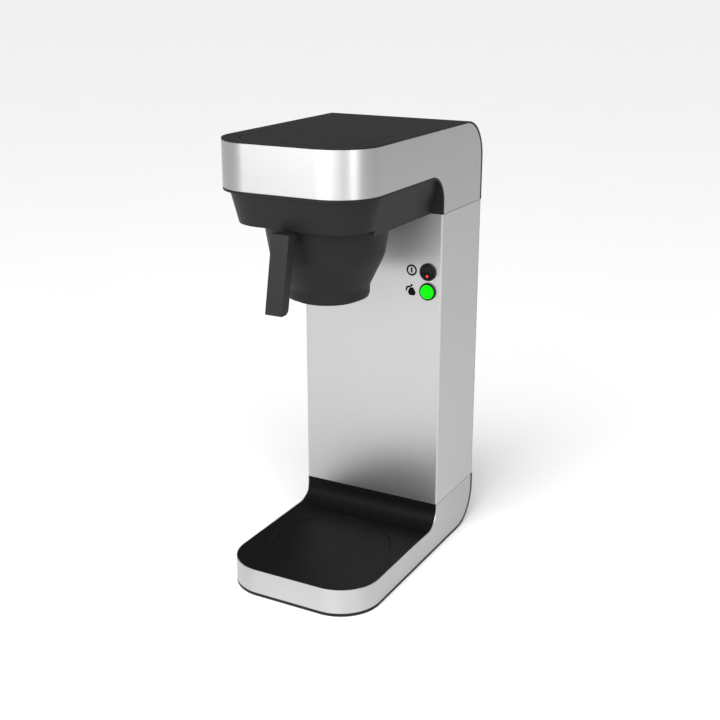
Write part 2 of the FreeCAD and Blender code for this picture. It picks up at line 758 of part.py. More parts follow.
# ---- base
def base_band_profile():
    rear = BACK - PAN_REAR_EDGE
    return [
        (FRONT - PAST, BASE_STEEL_Z, 0),
        (rear, BASE_STEEL_Z, STEEL_BOTTOM_R),
        (rear, BASE_SEAM, 0),
        (COLUMN_FRONT, BASE_SEAM, 0),
        (COLUMN_FRONT, BASE_TOP_Z, COVE_R),
        (FRONT - PAST, BASE_TOP_Z, 0),
    ]


def base_band():
    return steel_band(base_band_profile())


def base_pan():
    """The black moulded tray under the base that turns up at the rear."""
    rim = FOOT_H + REAR_TURN
    outside = side_prism([
        (FRONT - PAST, rim, 0),
        (FRONT - PAST, FOOT_H, 0),
        (BACK, FOOT_H, PAN_R),
        (BACK, BASE_SEAM, 0),
        (BACK - REAR_TURN, BASE_SEAM, 0),
        (BACK - REAR_TURN, rim, PAN_R - REAR_TURN),
    ]).common(u_prism(0))
    hollow = side_prism([
        (FRONT - 2 * PAST, rim + REAR_TURN, 0),
        (FRONT - 2 * PAST, PAN_FLOOR, 0),
        (BACK - WALL, PAN_FLOOR, PAN_R - WALL),
        (BACK - WALL, BASE_SEAM + PAST, 0),
        (BACK - 2 * REAR_TURN, BASE_SEAM + PAST, 0),
        (BACK - 2 * REAR_TURN, rim + REAR_TURN, 0),
    ]).common(u_prism(STEEL + WALL))
    pan = outside.cut(hollow).cut(base_band())
    cuts = [Part.makeCylinder(FOOT_STEM_R, WALL + 2 * PAST, V(x, y, 0)) for x, y in foot_spots()]
    for x, y in base_screw_spots():
        cuts.append(Part.makeCylinder(SCREW_R, WALL + 2 * PAST, V(x, y, 0)))
        cuts.append(Part.makeCylinder(SCREW_HEAD_R + RUN_GAP, SCREW_HEAD_H + RUN_GAP, V(x, y, FOOT_H)))
    return pan.cut(group(cuts))


def base_top():
    """The black serving plate with its ring for the jug and the cove up to the column."""
    under = BASE_TOP_Z - WALL
    lip_in = COLUMN_FRONT + WALL
    plate = side_prism([
        (FRONT - PAST, BASE_TOP_Z, 0),
        (COLUMN_FRONT, BASE_TOP_Z, COVE_R),
        (COLUMN_FRONT, BASE_SEAM, 0),
        (lip_in, BASE_SEAM, 0),
        (lip_in, under, COVE_R + WALL),
        (FRONT - PAST, under, 0),
    ]).common(u_prism(STEEL))
    ring = Part.makeCylinder(RING_R, RING_DEPTH + PAST, V(0, BOWL_Y, BASE_TOP_Z - RING_DEPTH))
    plate = plate.cut(ring)
    bosses = []
    for x, y in base_screw_spots():
        bosses.append(Part.makeCylinder(SCREW_HEAD_R, under + WALL / 2 - PAN_FLOOR, V(x, y, PAN_FLOOR)))
    depth = SCREW_HEAD_H + RUN_GAP + SCREW_L
    drills = [Part.makeCylinder(SCREW_R, depth, V(x, y, FOOT_H)) for x, y in base_screw_spots()]
    return fused([plate] + bosses).cut(group(drills))


def base_screw_spots():
    x = HALF - CORNER_R / 2
    rows = (FRONT + BASE_SCREW_FROM_FRONT, COLUMN_FRONT - CORNER_R)
    return [(side * x, y) for side in (-1, 1) for y in rows]


def base_screws():
    level = FOOT_H + SCREW_HEAD_H + RUN_GAP
    return group([pan_head_screw((x, y, level), (0, 0, 1)) for x, y in base_screw_spots()])


def foot_spots():
    x = HALF - CORNER_R / 2
    return [(side * x, y) for side in (-1, 1) for y in (FRONT + CORNER_R, BACK - PAN_R - FOOT_R)]


def feet():
    pads = []
    for x, y in foot_spots():
        pad = Part.makeCylinder(FOOT_R, FOOT_H, V(x, y, 0))
        pads.append(pad.fuse(Part.makeCylinder(FOOT_STEM_R, PAN_FLOOR, V(x, y, 0))).removeSplitter())
    return group(pads)


# ---- inner frame and electrical parts
def inner_frame():
    """Two box posts on a floor plate, with a plate under the rear of the tank."""
    floor = PAN_FLOOR + FOOT_H
    top = LIP_BOTTOM - LIP
    outer = rectangle(POST_X - POST_W / 2, POST_X + POST_W / 2, POST_Y - POST_D / 2, POST_Y + POST_D / 2)
    inner = rectangle(
        POST_X - POST_W / 2 + POST_STEEL, POST_X + POST_W / 2 - POST_STEEL,
        POST_Y - POST_D / 2 + POST_STEEL, POST_Y + POST_D / 2 - POST_STEEL)
    post = plan_prism(outer, floor, top).cut(plan_prism(inner, floor - PAST, top + PAST))
    half = HALF - STEEL - WALL - POST_SIDE_GAP
    front = COLUMN_FRONT + FRAME_EDGE
    rear = BACK - PAN_R - POST_SIDE_GAP
    foot = block(-half, half, front, rear, floor, floor + POST_STEEL)
    head = block(-half, half, front, POST_Y + POST_D, top, top + POST_STEEL)
    head = head.cut(Part.makeCylinder(HOSE_R + WALL, 3 * POST_STEEL, V(HOSE_X, HOSE_Y, top - POST_STEEL)))
    return fused([foot, head] + both_sides(post))


def heater_bracket():
    """A clamp ring round the heater with an ear to each post."""
    low = HEATER_MIDDLE - POST_W / 2
    high = HEATER_MIDDLE + POST_W / 2
    ring = Part.makeCylinder(HEATER_R + POST_STEEL, POST_W, V(0, HEATER_Y, low))
    face = POST_Y - POST_STEEL / 2
    ear = block(HEATER_R / 2, POST_X - POST_W / 2, face, face + POST_STEEL, low, high)
    ring = fused([ring] + both_sides(ear))
    return ring.cut(Part.makeCylinder(HEATER_R, POST_W + 2 * PAST, V(0, HEATER_Y, low - PAST)))


def board_bracket():
    face = COLUMN_BACK - BOARD_FROM_BACK - STANDOFF_H
    near = BOARD_X - BOARD_W / 2
    far = POST_X - POST_W / 2
    half = BOARD_H / 2 + WALL
    plate = block(near, far, face - POST_STEEL, face, BOARD_Z - half, BOARD_Z + half)
    side = block(far - POST_STEEL, far, POST_Y - POST_D / 2, face, BOARD_Z - half, BOARD_Z + half)
    return plate.fuse(side).removeSplitter()


def board_standoffs():
    face = COLUMN_BACK - BOARD_FROM_BACK
    posts = []
    for x in (-1, 1):
        for z in (-1, 1):
            across = BOARD_X + x * (BOARD_W / 2 - 2 * STANDOFF_R)
            up = BOARD_Z + z * (BOARD_H / 2 - 2 * STANDOFF_R)
            posts.append(rod(STANDOFF_R, (across, face - STANDOFF_H, up), (across, face, up)))
    return group(posts)


def control_board():
    """The circuit board with its relay, transformer and terminals."""
    face = COLUMN_BACK - BOARD_FROM_BACK
    board = block(
        BOARD_X - BOARD_W / 2, BOARD_X + BOARD_W / 2, face, face + BOARD_T,
        BOARD_Z - BOARD_H / 2, BOARD_Z + BOARD_H / 2)
    on = face + BOARD_T
    parts = [board]
    for (x, z), (width, height, proud) in BOARD_PARTS:
        left = BOARD_X + x - width / 2
        low = BOARD_Z + z - height / 2
        parts.append(block(left, left + width, on, on + proud, low, low + height))
    x = BOARD_X + CAPACITOR_X
    z = BOARD_Z + CAPACITOR_UP
    parts.append(rod(CAPACITOR_R, (x, on, z), (x, on + CAPACITOR_L, z)))
    return fused(parts)


def terminal_block():
    face = WRAP_BACK
    body = block(
        INLET_X - TERMINAL_W / 2, INLET_X + TERMINAL_W / 2, face - TERMINAL_D, face,
        TERMINAL_Z - TERMINAL_H / 2, TERMINAL_Z + TERMINAL_H / 2)
    pitch = TERMINAL_W / 3
    wells = []
    for i in (-1, 0, 1):
        x = INLET_X + i * pitch
        mouth = (x, face - TERMINAL_D - PAST, TERMINAL_Z)
        wells.append(rod(SCREW_HEAD_R, mouth, (x, face - TERMINAL_D / 2, TERMINAL_Z)))
    return body.cut(group(wells))


def inlet_outline(grow):
    w = INLET_W / 2 + grow
    h = INLET_H / 2 + grow
    return rectangle(INLET_X - w, INLET_X + w, INLET_Z - h, INLET_Z + h, INLET_CORNER + min(grow, 0))


def power_inlet():
    """The recessed socket for a detachable mains lead."""
    face = COLUMN_BACK + INLET_FLANGE_T
    body = front_prism(inlet_outline(0), face - INLET_DEEP, COLUMN_BACK)
    flange = front_prism(inlet_outline(INLET_FLANGE), COLUMN_BACK, face)
    socket = front_prism(inlet_outline(-INLET_WALL), face - INLET_DEEP + INLET_WALL, face + PAST)
    return body.fuse(flange).cut(socket).cut(inlet_pins())


def inlet_pins():
    floor = COLUMN_BACK + INLET_FLANGE_T - INLET_DEEP
    pins = []
    for i in (-1, 0, 1):
        x = INLET_X + i * PLUG_PIN_PITCH
        z = INLET_Z + (PLUG_PIN_W if i == 0 else -PLUG_PIN_W)
        pins.append(block(
            x - PLUG_PIN_W / 2, x + PLUG_PIN_W / 2, floor - BLADE_L / 2, floor + PLUG_PIN_L,
            z - PLUG_PIN_H / 2, z + PLUG_PIN_H / 2))
    return group(pins)


# ---- controls on the column front
def control_barrel(z):
    """A round bezel in front of the panel and a barrel behind it."""
    front = COLUMN_FRONT - BEZEL_T
    bezel = rod(BEZEL_R, (CONTROL_X, COLUMN_FRONT, z), (CONTROL_X, front, z))
    rim = [e for e in bezel.Edges if e.BoundBox.YMax < front + BEZEL_CHAMFER]
    bezel = bezel.makeChamfer(BEZEL_CHAMFER, rim)
    return bezel.fuse(rod(BARREL_R, (CONTROL_X, COLUMN_FRONT, z), (CONTROL_X, COLUMN_FRONT + BARREL_L, z)))


def contact_blades(z):
    blades = []
    for side in (-1, 1):
        x = CONTROL_X + side * BLADE_X
        rear = COLUMN_FRONT + BARREL_L
        blades.append(block(
            x - BLADE_T / 2, x + BLADE_T / 2, rear - PAST, rear + BLADE_L, z - BLADE_W / 2, z + BLADE_W / 2))
    return blades


def rocker_housing():
    shell = fused([control_barrel(SWITCH_Z)] + contact_blades(SWITCH_Z))
    floor = PIVOT_Y + ROCKER_BACK + ROCKER_ROOM
    front = COLUMN_FRONT - BEZEL_T - PAST
    well = rod(ROCKER_BALL_R + ROCKER_GAP, (CONTROL_X, front, SWITCH_Z), (CONTROL_X, floor, SWITCH_Z))
    reach = ROCKER_BALL_R + TRUNNION_OUT + 2 * ROCKER_GAP
    bore = rod(
        TRUNNION_R + PIN_GAP, (CONTROL_X - reach, PIVOT_Y, SWITCH_Z), (CONTROL_X + reach, PIVOT_Y, SWITCH_Z))
    return shell.cut(well).cut(bore)


def rocker_tilt(shape):
    """Turns a piece of the rocker from its middle place to its pressed-on place."""
    turned = shape.copy()
    turned.rotate(V(CONTROL_X, PIVOT_Y, SWITCH_Z), V(1, 0, 0), -ROCKER_ANGLE)
    return turned


def neon_rod():
    z = SWITCH_Z - NEON_DROP
    face = PIVOT_Y - ROCKER_VALLEY - NEON_DROP * math.tan(math.radians(ROCKER_ANGLE)) - NEON_PROUD
    return rod(NEON_R, (CONTROL_X, face + NEON_L, z), (CONTROL_X, face, z))


def power_rocker():
    """A round rocker with a shallow valley across it, on two trunnions."""
    reach = ROCKER_BALL_R + PAST
    rise = reach * math.tan(math.radians(ROCKER_ANGLE))
    face = PIVOT_Y - ROCKER_VALLEY
    body = side_prism([
        (PIVOT_Y + ROCKER_BACK, SWITCH_Z - reach, 0),
        (PIVOT_Y + ROCKER_BACK, SWITCH_Z + reach, 0),
        (face - rise, SWITCH_Z + reach, 0),
        (face, SWITCH_Z, 0),
        (face - rise, SWITCH_Z - reach, 0),
    ], CONTROL_X - reach, CONTROL_X + reach)
    body = body.common(Part.makeSphere(ROCKER_BALL_R, V(CONTROL_X, PIVOT_Y, SWITCH_Z)))
    end = ROCKER_BALL_R + TRUNNION_OUT
    pin = rod(TRUNNION_R, (CONTROL_X - end, PIVOT_Y, SWITCH_Z), (CONTROL_X + end, PIVOT_Y, SWITCH_Z))
    return rocker_tilt(body.fuse(pin).cut(neon_rod()))


def neon_lens():
    return rocker_tilt(neon_rod())


def button_housing():
    shell = fused([control_barrel(BUTTON_Z)] + contact_blades(BUTTON_Z))
    room = LENS_BACK + PLUNGER_L + BUTTON_TRAVEL + PLUNGER_ROOM
    front = COLUMN_FRONT - BEZEL_T - PAST
    ring = rod(LENS_R + LENS_GAP, (CONTROL_X, front, BUTTON_Z), (CONTROL_X, COLUMN_FRONT, BUTTON_Z))
    bore = rod(PLUNGER_R + PIN_GAP, (CONTROL_X, COLUMN_FRONT - PAST, BUTTON_Z), (CONTROL_X, room, BUTTON_Z))
    return shell.cut(ring).cut(bore)


def brew_button():
    """The lit push button: a domed lens on a plunger."""
    face = LENS_BACK - LENS_T
    lens = rod(LENS_R, (CONTROL_X, LENS_BACK, BUTTON_Z), (CONTROL_X, face, BUTTON_Z))
    lens = lens.common(Part.makeSphere(LENS_CROWN_R, V(CONTROL_X, face + LENS_CROWN_R, BUTTON_Z)))
    end = LENS_BACK + PLUNGER_L
    return lens.fuse(rod(PLUNGER_R, (CONTROL_X, LENS_BACK, BUTTON_Z), (CONTROL_X, end, BUTTON_Z)))


def switch_nuts():
    nuts = []
    for z in (SWITCH_Z, BUTTON_Z):
        face = COLUMN_FRONT + STEEL
        nut = rod(NUT_R, (CONTROL_X, face, z), (CONTROL_X, face + NUT_T, z))
        nuts.append(nut.cut(rod(BARREL_R, (CONTROL_X, face - PAST, z), (CONTROL_X, face + NUT_T + PAST, z))))
    return group(nuts)


# ---- brew basket
def bowl_outside():
    """The (r, z) outline of the outside of the bowl, from the rim down to the floor's edge."""
    return [
        (BOWL_TOP_R, FLANGE_Z, 0),
        (BOWL_SHOULDER_R, BASKET_TOP - BOWL_SHOULDER_DROP, BOWL_BEND_R),
        (BOWL_NECK_R, BASKET_TOP - BOWL_NECK_DROP, BOWL_NECK_BEND_R),
        (BOWL_NECK_R, BOWL_BOTTOM + 2 * BOWL_FOOT_H, 0),
        (BOWL_NECK_R - STEEL, BOWL_BOTTOM + BOWL_FOOT_H, 0),
    ]


def revolved(outline):
    wire = corner_wire(outline, lambda p: V(p.x, BOWL_Y, p.y))
    return Part.Face(wire).revolve(V(0, BOWL_Y, 0), V(0, 0, 1), 360)


def basket_bowl():
    """The brew basket: a flanged bowl with a sloping ribbed floor and an outlet in its middle."""
    floor = BOWL_BOTTOM + BOWL_FOOT_H
    inside_low = floor + BOWL_WALL + BOWL_FLOOR_FALL
    foot_in = BOWL_FOOT_R - BOWL_FOOT_WALL
    wall = BOWL_WALL
    bowl = revolved(
        [(BASKET_R, BASKET_TOP, 0), (BASKET_R, FLANGE_Z, 0)]
        + bowl_outside()
        + [
            (BOWL_FOOT_R, floor, 0),
            (BOWL_FOOT_R, BOWL_BOTTOM, 0),
            (foot_in, BOWL_BOTTOM, 0),
            (foot_in, floor, 0),
            (OUTLET_R, floor, 0),
            (OUTLET_R, floor + wall, 0),
            (BOWL_NECK_R - wall, inside_low, 0),
            (BOWL_NECK_R - wall, BASKET_TOP - BOWL_NECK_DROP + wall / 4, BOWL_NECK_BEND_R + wall),
            (BOWL_SHOULDER_R - wall, BASKET_TOP - BOWL_SHOULDER_DROP + wall / 4, BOWL_BEND_R - wall),
            (BOWL_TOP_R - wall, BASKET_TOP, 0),
        ]
    )
    ribs = []
    rib_high = inside_low + RIB_H
    for i in range(RIB_COUNT):
        rib = block(2 * OUTLET_R, BOWL_NECK_R - wall / 2, -RIB_W / 2, RIB_W / 2, floor + wall / 2, rib_high)
        rib.rotate(V(0, 0, 0), V(0, 0, 1), 360 * (i + 0.5) / RIB_COUNT)
        rib.translate(V(0, BOWL_Y, 0))
        ribs.append(rib)
    bowl = fused([bowl] + ribs)
    bowl = bowl.common(block(-FLANGE_HALF, FLANGE_HALF, BOWL_Y - WIDTH, BOWL_Y + WIDTH, 0, HEIGHT))
    return bowl.cut(handle_screws())


def bowl_core():
    """The bowl's outside as a filled shape."""
    return revolved([(0, FLANGE_Z, 0)] + bowl_outside() + [(0, BOWL_BOTTOM + BOWL_FOOT_H, 0)])


def basket_handle():
    """A slanted bar that hangs in front of the bowl, with an arm back to the bowl under the flange."""
    top = BASKET_TOP - RUN_GAP
    low = BASKET_TOP - HANDLE_H
    slope = math.atan2(HANDLE_REACH + HANDLE_TOP_REACH, top - low)
    rounded_off = HANDLE_EDGE_R * (1 / math.tan(math.pi / 4 - slope / 2) - 1)
    front_top = FRONT + HANDLE_TOP_REACH
    front_low = FRONT - HANDLE_REACH - rounded_off
    bar = side_prism([
        (front_top, top, HANDLE_EDGE_R),
        (front_low, low, HANDLE_EDGE_R),
        (front_low + HANDLE_T, low, HANDLE_END_R),
        (front_top + HANDLE_T, top, HANDLE_EDGE_R),
    ], -HANDLE_W / 2, HANDLE_W / 2)
    sides = [f for f in bar.Faces if f.BoundBox.XLength < HANDLE_EDGE_R / 2]
    bar = bar.makeFillet(HANDLE_EDGE_R, [e for face in sides for e in face.Edges])
    reach = BOWL_Y - BOWL_TOP_R + ARM_H
    arm = block(-ARM_W / 2, ARM_W / 2, front_top + HANDLE_T / 2, reach, FLANGE_Z - ARM_H, FLANGE_Z)
    return fused([bar, arm.cut(bowl_core())]).cut(handle_screws())


def handle_screws():
    """Two screws from inside the bowl into the handle's arm."""
    z = FLANGE_Z - ARM_H / 2
    y = BOWL_Y - BOWL_TOP_R + BOWL_WALL + HANDLE_SCREW_SEAT
    screws = []
    for side in (-1, 1):
        place = (side * HANDLE_SCREW_PITCH / 2, y, z)
        screws.append(pan_head_screw(
            place, (0, -1, 0), HANDLE_SCREW_R, HANDLE_SCREW_HEAD_R, HANDLE_SCREW_HEAD_H, HANDLE_SCREW_L))
    return group(screws)


PIECES = [
    head_band, top_cap, fill_flap, flap_pins, head_skirt, basket_rails, spray_head,
    water_tank, tank_strainer, tank_hose, check_valve, heater_hose, heater, heater_bracket,
    thermal_cutouts, riser_tube, column_wrap, column_back, back_screws,
    base_band, base_top, base_pan, base_screws, feet, inner_frame,
    board_bracket, board_standoffs, control_board, terminal_block, power_inlet, inlet_pins,
    rocker_housing, power_rocker, neon_lens, button_housing, brew_button, switch_nuts,
    basket_bowl, basket_handle, handle_screws,
]


def main():
    os.makedirs("parts", exist_ok=True)
    for piece in PIECES:
        shape = piece()
        if not shape.isValid():
            raise ValueError(piece.__name__ + " is not a valid shape")
        shape.exportStep("parts/" + piece.__name__ + ".step")
        print(piece.__name__, len(shape.Solids), round(shape.Volume))


main()
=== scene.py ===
"""Looks of a commercial coffee brewer: steel shells, black mouldings, controls and their finishes."""

import json
import math

import bmesh
import bpy
from mathutils import Matrix, Vector


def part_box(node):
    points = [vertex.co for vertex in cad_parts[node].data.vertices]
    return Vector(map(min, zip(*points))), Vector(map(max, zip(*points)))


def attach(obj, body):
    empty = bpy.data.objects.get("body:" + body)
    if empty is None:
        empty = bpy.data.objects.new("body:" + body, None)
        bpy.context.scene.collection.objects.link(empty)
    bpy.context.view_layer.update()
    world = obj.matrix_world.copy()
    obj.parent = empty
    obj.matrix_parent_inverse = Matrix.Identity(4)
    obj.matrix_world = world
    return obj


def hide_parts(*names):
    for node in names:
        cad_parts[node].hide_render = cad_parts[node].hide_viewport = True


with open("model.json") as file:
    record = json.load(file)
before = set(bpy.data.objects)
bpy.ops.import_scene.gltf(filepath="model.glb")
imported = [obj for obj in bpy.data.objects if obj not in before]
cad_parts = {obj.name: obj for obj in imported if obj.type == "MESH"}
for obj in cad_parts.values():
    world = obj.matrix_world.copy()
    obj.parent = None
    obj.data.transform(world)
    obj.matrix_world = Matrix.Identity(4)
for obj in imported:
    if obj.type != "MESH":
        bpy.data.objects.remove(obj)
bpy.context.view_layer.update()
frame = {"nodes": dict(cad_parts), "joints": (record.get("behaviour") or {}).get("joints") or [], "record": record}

bl_info = {
    "name": "Coffee brewer looks",
    "version": (1, 0, 0),
    "blender": (4, 5, 0),
    "location": "View3D > Sidebar > Brewer",
    "description": "Builds the shells, mouldings, controls and finishes of a coffee brewer",
    "category": "Object",
}

MM = 0.001
ARC_STEP = math.radians(2.5)
SHARP_ANGLE = math.radians(50)
BEVEL_ANGLE = math.radians(30)
SHORTEST_EDGE = 0.6 * MM
SPIN_STEPS = 144
PAST = 1.0 * MM  # how far a cutter reaches past what it cuts
HAIR = 0.02 * MM  # keeps two faces from lying in one plane
WHITE = (1.0, 1.0, 1.0, 1.0)

SCREW_HEAD = 3.4 * MM
SCREW_SEAT = 3.7 * MM
SCREW_SEAT_DEPTH = 1.4 * MM
FINE_EDGE = 0.15 * MM
LENS_EDGE = 0.25 * MM
SOFT_EDGE = 0.3 * MM

WORLD_LIGHT = 0.26
SUN_POWER = 3.15
SUN_WIDTH = math.radians(70)
SUN_PLACE = (12.0, 48.0, 4.0)  # azimuth and elevation in degrees, distance in metres
SOFT_BOXES = {  # width and height, power, then the place as the sun's
    "front_box": ((3.6, 2.0), 40.0, (0.0, 24.0, 3.0)),
    "head_box": ((1.2, 0.4), 6.0, (-14.0, 20.0, 1.35)),
    "corner_box": ((0.6, 1.0), 15.0, (62.0, 20.0, 2.2)),
}
FLOOR_REACH = 60.0
CAMERA_SPOT = (0.70851, -1.27952, 0.77399)
CAMERA_TURN = (28.456, 18.511)
CAMERA_LENS = 57.82

# ---- places that come from the frame
HEAD_LOW, HEAD_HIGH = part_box("head_band")
CAP_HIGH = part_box("top_cap")[1]
SKIRT_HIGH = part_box("head_skirt")[1]
COLUMN_LOW, COLUMN_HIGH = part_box("column_wrap")
PANEL_LOW, PANEL_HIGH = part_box("column_back")
BASE_LOW, BASE_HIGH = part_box("base_band")
PAN_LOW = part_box("base_pan")[0]
FOOT_LOW, FOOT_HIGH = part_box("feet")
BOWL_LOW, BOWL_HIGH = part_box("basket_bowl")
HANDLE_LOW, HANDLE_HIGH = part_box("basket_handle")
FLAP_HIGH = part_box("fill_flap")[1]
PINS_LOW, PINS_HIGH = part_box("flap_pins")
SWITCH_LOW, SWITCH_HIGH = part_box("rocker_housing")
BUTTON_LOW, BUTTON_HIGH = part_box("button_housing")
LENS_LOW, LENS_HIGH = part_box("brew_button")
BACK_SCREWS_LOW, BACK_SCREWS_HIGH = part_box("back_screws")
BASE_SCREWS_LOW, BASE_SCREWS_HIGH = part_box("base_screws")
INLET_LOW, INLET_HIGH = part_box("power_inlet")

HALF = HEAD_HIGH.x
FRONT = HEAD_LOW.y
BACK = CAP_HIGH.y
HEIGHT = CAP_HIGH.z
COLUMN_FRONT = COLUMN_LOW.y
COLUMN_BACK = PANEL_HIGH.y
HEAD_SEAM = HEAD_LOW.z
BASE_SEAM = BASE_HIGH.z
BAND_TOP = HEAD_HIGH.z
BAND_BOTTOM = SKIRT_HIGH.z
HEAD_CHEEK = SKIRT_HIGH.y
LIP = HEAD_CHEEK - COLUMN_FRONT
LIP_BOTTOM = BAND_BOTTOM - LIP
BOWL_Y = (BOWL_LOW.y + BOWL_HIGH.y) / 2
BASKET_TOP = BOWL_HIGH.z
CONTROL_X = (SWITCH_LOW.x + SWITCH_HIGH.x) / 2
SWITCH_Z = (SWITCH_LOW.z + SWITCH_HIGH.z) / 2
BUTTON_Z = (BUTTON_LOW.z + BUTTON_HIGH.z) / 2
FLAP_PIN_Y = (PINS_LOW.y + PINS_HIGH.y) / 2
FLAP_PIN_Z = (PINS_LOW.z + PINS_HIGH.z) / 2


def joint_place(name):
    """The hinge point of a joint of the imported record."""
    joint = next(j for j in frame["joints"] if j["name"] == name)
    return Vector(joint["pos_m"])


# ---- sizes and colours that a user may change
def length(name, description, millimetres):
    return bpy.props.FloatProperty(
        name=name, description=description, default=millimetres * MM, min=0.0, unit="LENGTH", precision=5)


def colour(name, description, value):
    return bpy.props.FloatVectorProperty(
        name=name, description=description, default=value, size=3, min=0.0, max=1.0, subtype="COLOR")


def angle(name, description, degrees):
    return bpy.props.FloatProperty(
        name=name, description=description, default=math.radians(degrees), unit="ROTATION")


class ShellSizes(bpy.types.PropertyGroup):
    """Sheet metal and moulding sizes of head, column and base."""
    steel: length("Steel", "Thickness of the sheet steel", 1.2)
    wall: length("Wall", "Thickness of the moulded covers", 3.0)
    corner: length("Corner", "Radius of the front corners in plan", 56.0)
    cap_bend: length("Cap bend", "Outer radius of the top cover over the rear corner", 52.0)
    band_bend: length("Band bend", "Radius of the head band's upper rear corner", 50.0)
    notch: length("Notch", "Radius in the head's lower corner over the column", 35.5)
    pan_bend: length("Pan bend", "Outer radius of the pan's rear corner", 50.0)
    base_bend: length("Base bend", "Radius of the base band's lower rear corner", 46.0)
    cove: length("Cove", "Radius between the serving plate and the column", 24.0)
    turn: length("Turn", "How far the covers turn in at their rims", 12.0)
    fold: length("Fold", "Outer radius of the column's folds", 2.5)
    returns: length("Returns", "Width of the column's folded edges at the back", 16.0)
    ring: length("Ring", "Radius of the jug's recess in the serving plate", 81.0)
    ring_depth: length("Ring depth", "Depth of the jug's recess", 1.2)
    edge: length("Edge", "Softening of moulded edges", 0.45)
    sheet_edge: length("Sheet edge", "Softening of steel edges", 0.25)


class SkirtSizes(bpy.types.PropertyGroup):
    """The tapered body under the head."""
    top_inset: length("Top inset", "How far the skirt's top stands in from the head", 3.0)
    low_inset: length("Low inset", "How far the skirt's foot stands in at the sides", 16.6)
    low_front: length("Low front", "How far the skirt's foot stands in at the front", 21.0)
    top_corner: length("Top corner", "Corner radius at the skirt's top", 64.0)
    low_corner: length("Low corner", "Corner radius at the skirt's foot", 42.0)
    wall: length("Wall", "Thickness of the skirt", 2.4)
    slot_length: length("Slot length", "How far the basket's slot runs back along the sides", 68.0)
    slot_gap: length("Slot gap", "Gap over the basket's rim", 0.7)
    pipe: length("Pipe", "Radius of the hole for the riser tube", 5.3)


class FlapSizes(bpy.types.PropertyGroup):
    """The fill flap in the top."""
    front_inset: length("Front inset", "Distance from the front to the flap", 12.0)
    rear_corner: length("Rear corner", "Radius of the flap's rear corners", 11.0)
    thickness: length("Thickness", "Thickness of the flap", 2.6)
    gap: length("Gap", "Gap round the flap", 0.9)
    ledge: length("Ledge", "How far the ledge reaches under the flap", 4.0)
    ledge_t: length("Ledge thickness", "Thickness of the ledge", 2.0)
    lug: length("Lug", "Radius of the lugs on the pins", 3.2)
    lug_width: length("Lug width", "Width of the lugs on the pins", 8.0)
    boss: length("Boss", "Radius of the pins' bosses", 3.4)
    boss_width: length("Boss width", "Width of the pins' bosses", 6.0)


class BasketSizes(bpy.types.PropertyGroup):
    """The brew basket and its handle."""
    rim: length("Rim", "Radius of the flange", 86.5)
    rim_t: length("Rim thickness", "Thickness of the flange", 3.0)
    top: length("Top", "Radius of the bowl under the flange", 78.6)
    shoulder: length("Shoulder", "Radius of the bowl's shoulder", 71.7)
    shoulder_drop: length("Shoulder drop", "From the rim down to the shoulder", 45.0)
    shoulder_bend: length("Shoulder bend", "Bend radius of the shoulder", 40.0)
    neck: length("Neck", "Radius of the bowl's neck", 53.1)
    neck_drop: length("Neck drop", "From the rim down to the neck", 83.8)
    neck_bend: length("Neck bend", "Bend radius of the neck", 15.0)
    foot: length("Foot", "Radius of the foot ring", 43.3)
    foot_h: length("Foot height", "Height of the foot ring", 3.9)
    foot_t: length("Foot thickness", "Thickness of the foot ring", 2.4)
    wall: length("Wall", "Wall of the bowl", 2.6)
    fall: length("Fall", "Fall of the floor to the outlet", 3.0)
    outlet: length("Outlet", "Radius of the outlet", 6.0)
    rib: length("Rib", "Height of the floor ribs", 4.0)
    rib_w: length("Rib width", "Width of the floor ribs", 1.6)
    handle_w: length("Handle width", "Width of the handle", 24.0)
    handle_t: length("Handle depth", "Thickness of the handle", 14.6)
    handle_back: length("Handle back", "How far the handle's top stands behind the head's front", 1.6)
    handle_end: length("Handle end", "Radius of the handle's lower rear corner", 8.0)
    handle_edge: length("Handle edge", "Softening of the handle's edges", 1.0)
    arm_w: length("Arm width", "Width of the handle's arm", 18.0)
    arm_h: length("Arm height", "Height of the handle's arm", 11.0)


class ControlSizes(bpy.types.PropertyGroup):
    """Rocker, push button and their bezels."""
    bezel: length("Bezel", "Outer radius of a bezel", 11.7)
    bezel_t: length("Bezel depth", "How far a bezel stands out", 3.2)
    barrel: length("Barrel", "Radius behind the panel", 9.9)
    barrel_l: length("Barrel length", "Length behind the panel", 24.0)
    ball: length("Rocker", "Radius of the rocker", 8.4)
    ball_gap: length("Rocker gap", "Gap round the rocker", 0.3)
    tilt: angle("Tilt", "Turn of the pressed rocker", 8.0)
    valley: length("Valley", "Depth of the rocker's face in front of its pivot", 1.0)
    rocker_back: length("Rocker back", "How far the rocker reaches behind its pivot", 4.0)
    room: length("Room", "Free depth behind the rocker", 3.0)
    neon: length("Neon", "Radius of the red light", 1.6)
    neon_drop: length("Neon drop", "From the rocker's middle down to the red light", 5.4)
    neon_proud: length("Neon proud", "How far the red light stands out", 0.3)
    neon_l: length("Neon length", "Length of the red light", 3.0)
    lens_gap: length("Lens gap", "Gap round the lit lens", 0.3)
    crown: length("Crown", "Radius of the lens's dome", 30.0)
    lens_t: length("Lens thickness", "Thickness of the lens", 2.2)
    plunger: length("Plunger", "Radius of the button's plunger", 7.2)
    symbol_gap: length("Symbol gap", "From the controls' middle to the symbols' middle", 24.2)
    symbol_line: length("Symbol line", "Width of the symbols' lines", 2.4)
    ink: length("Ink", "Thickness of the printed symbols", 0.05)


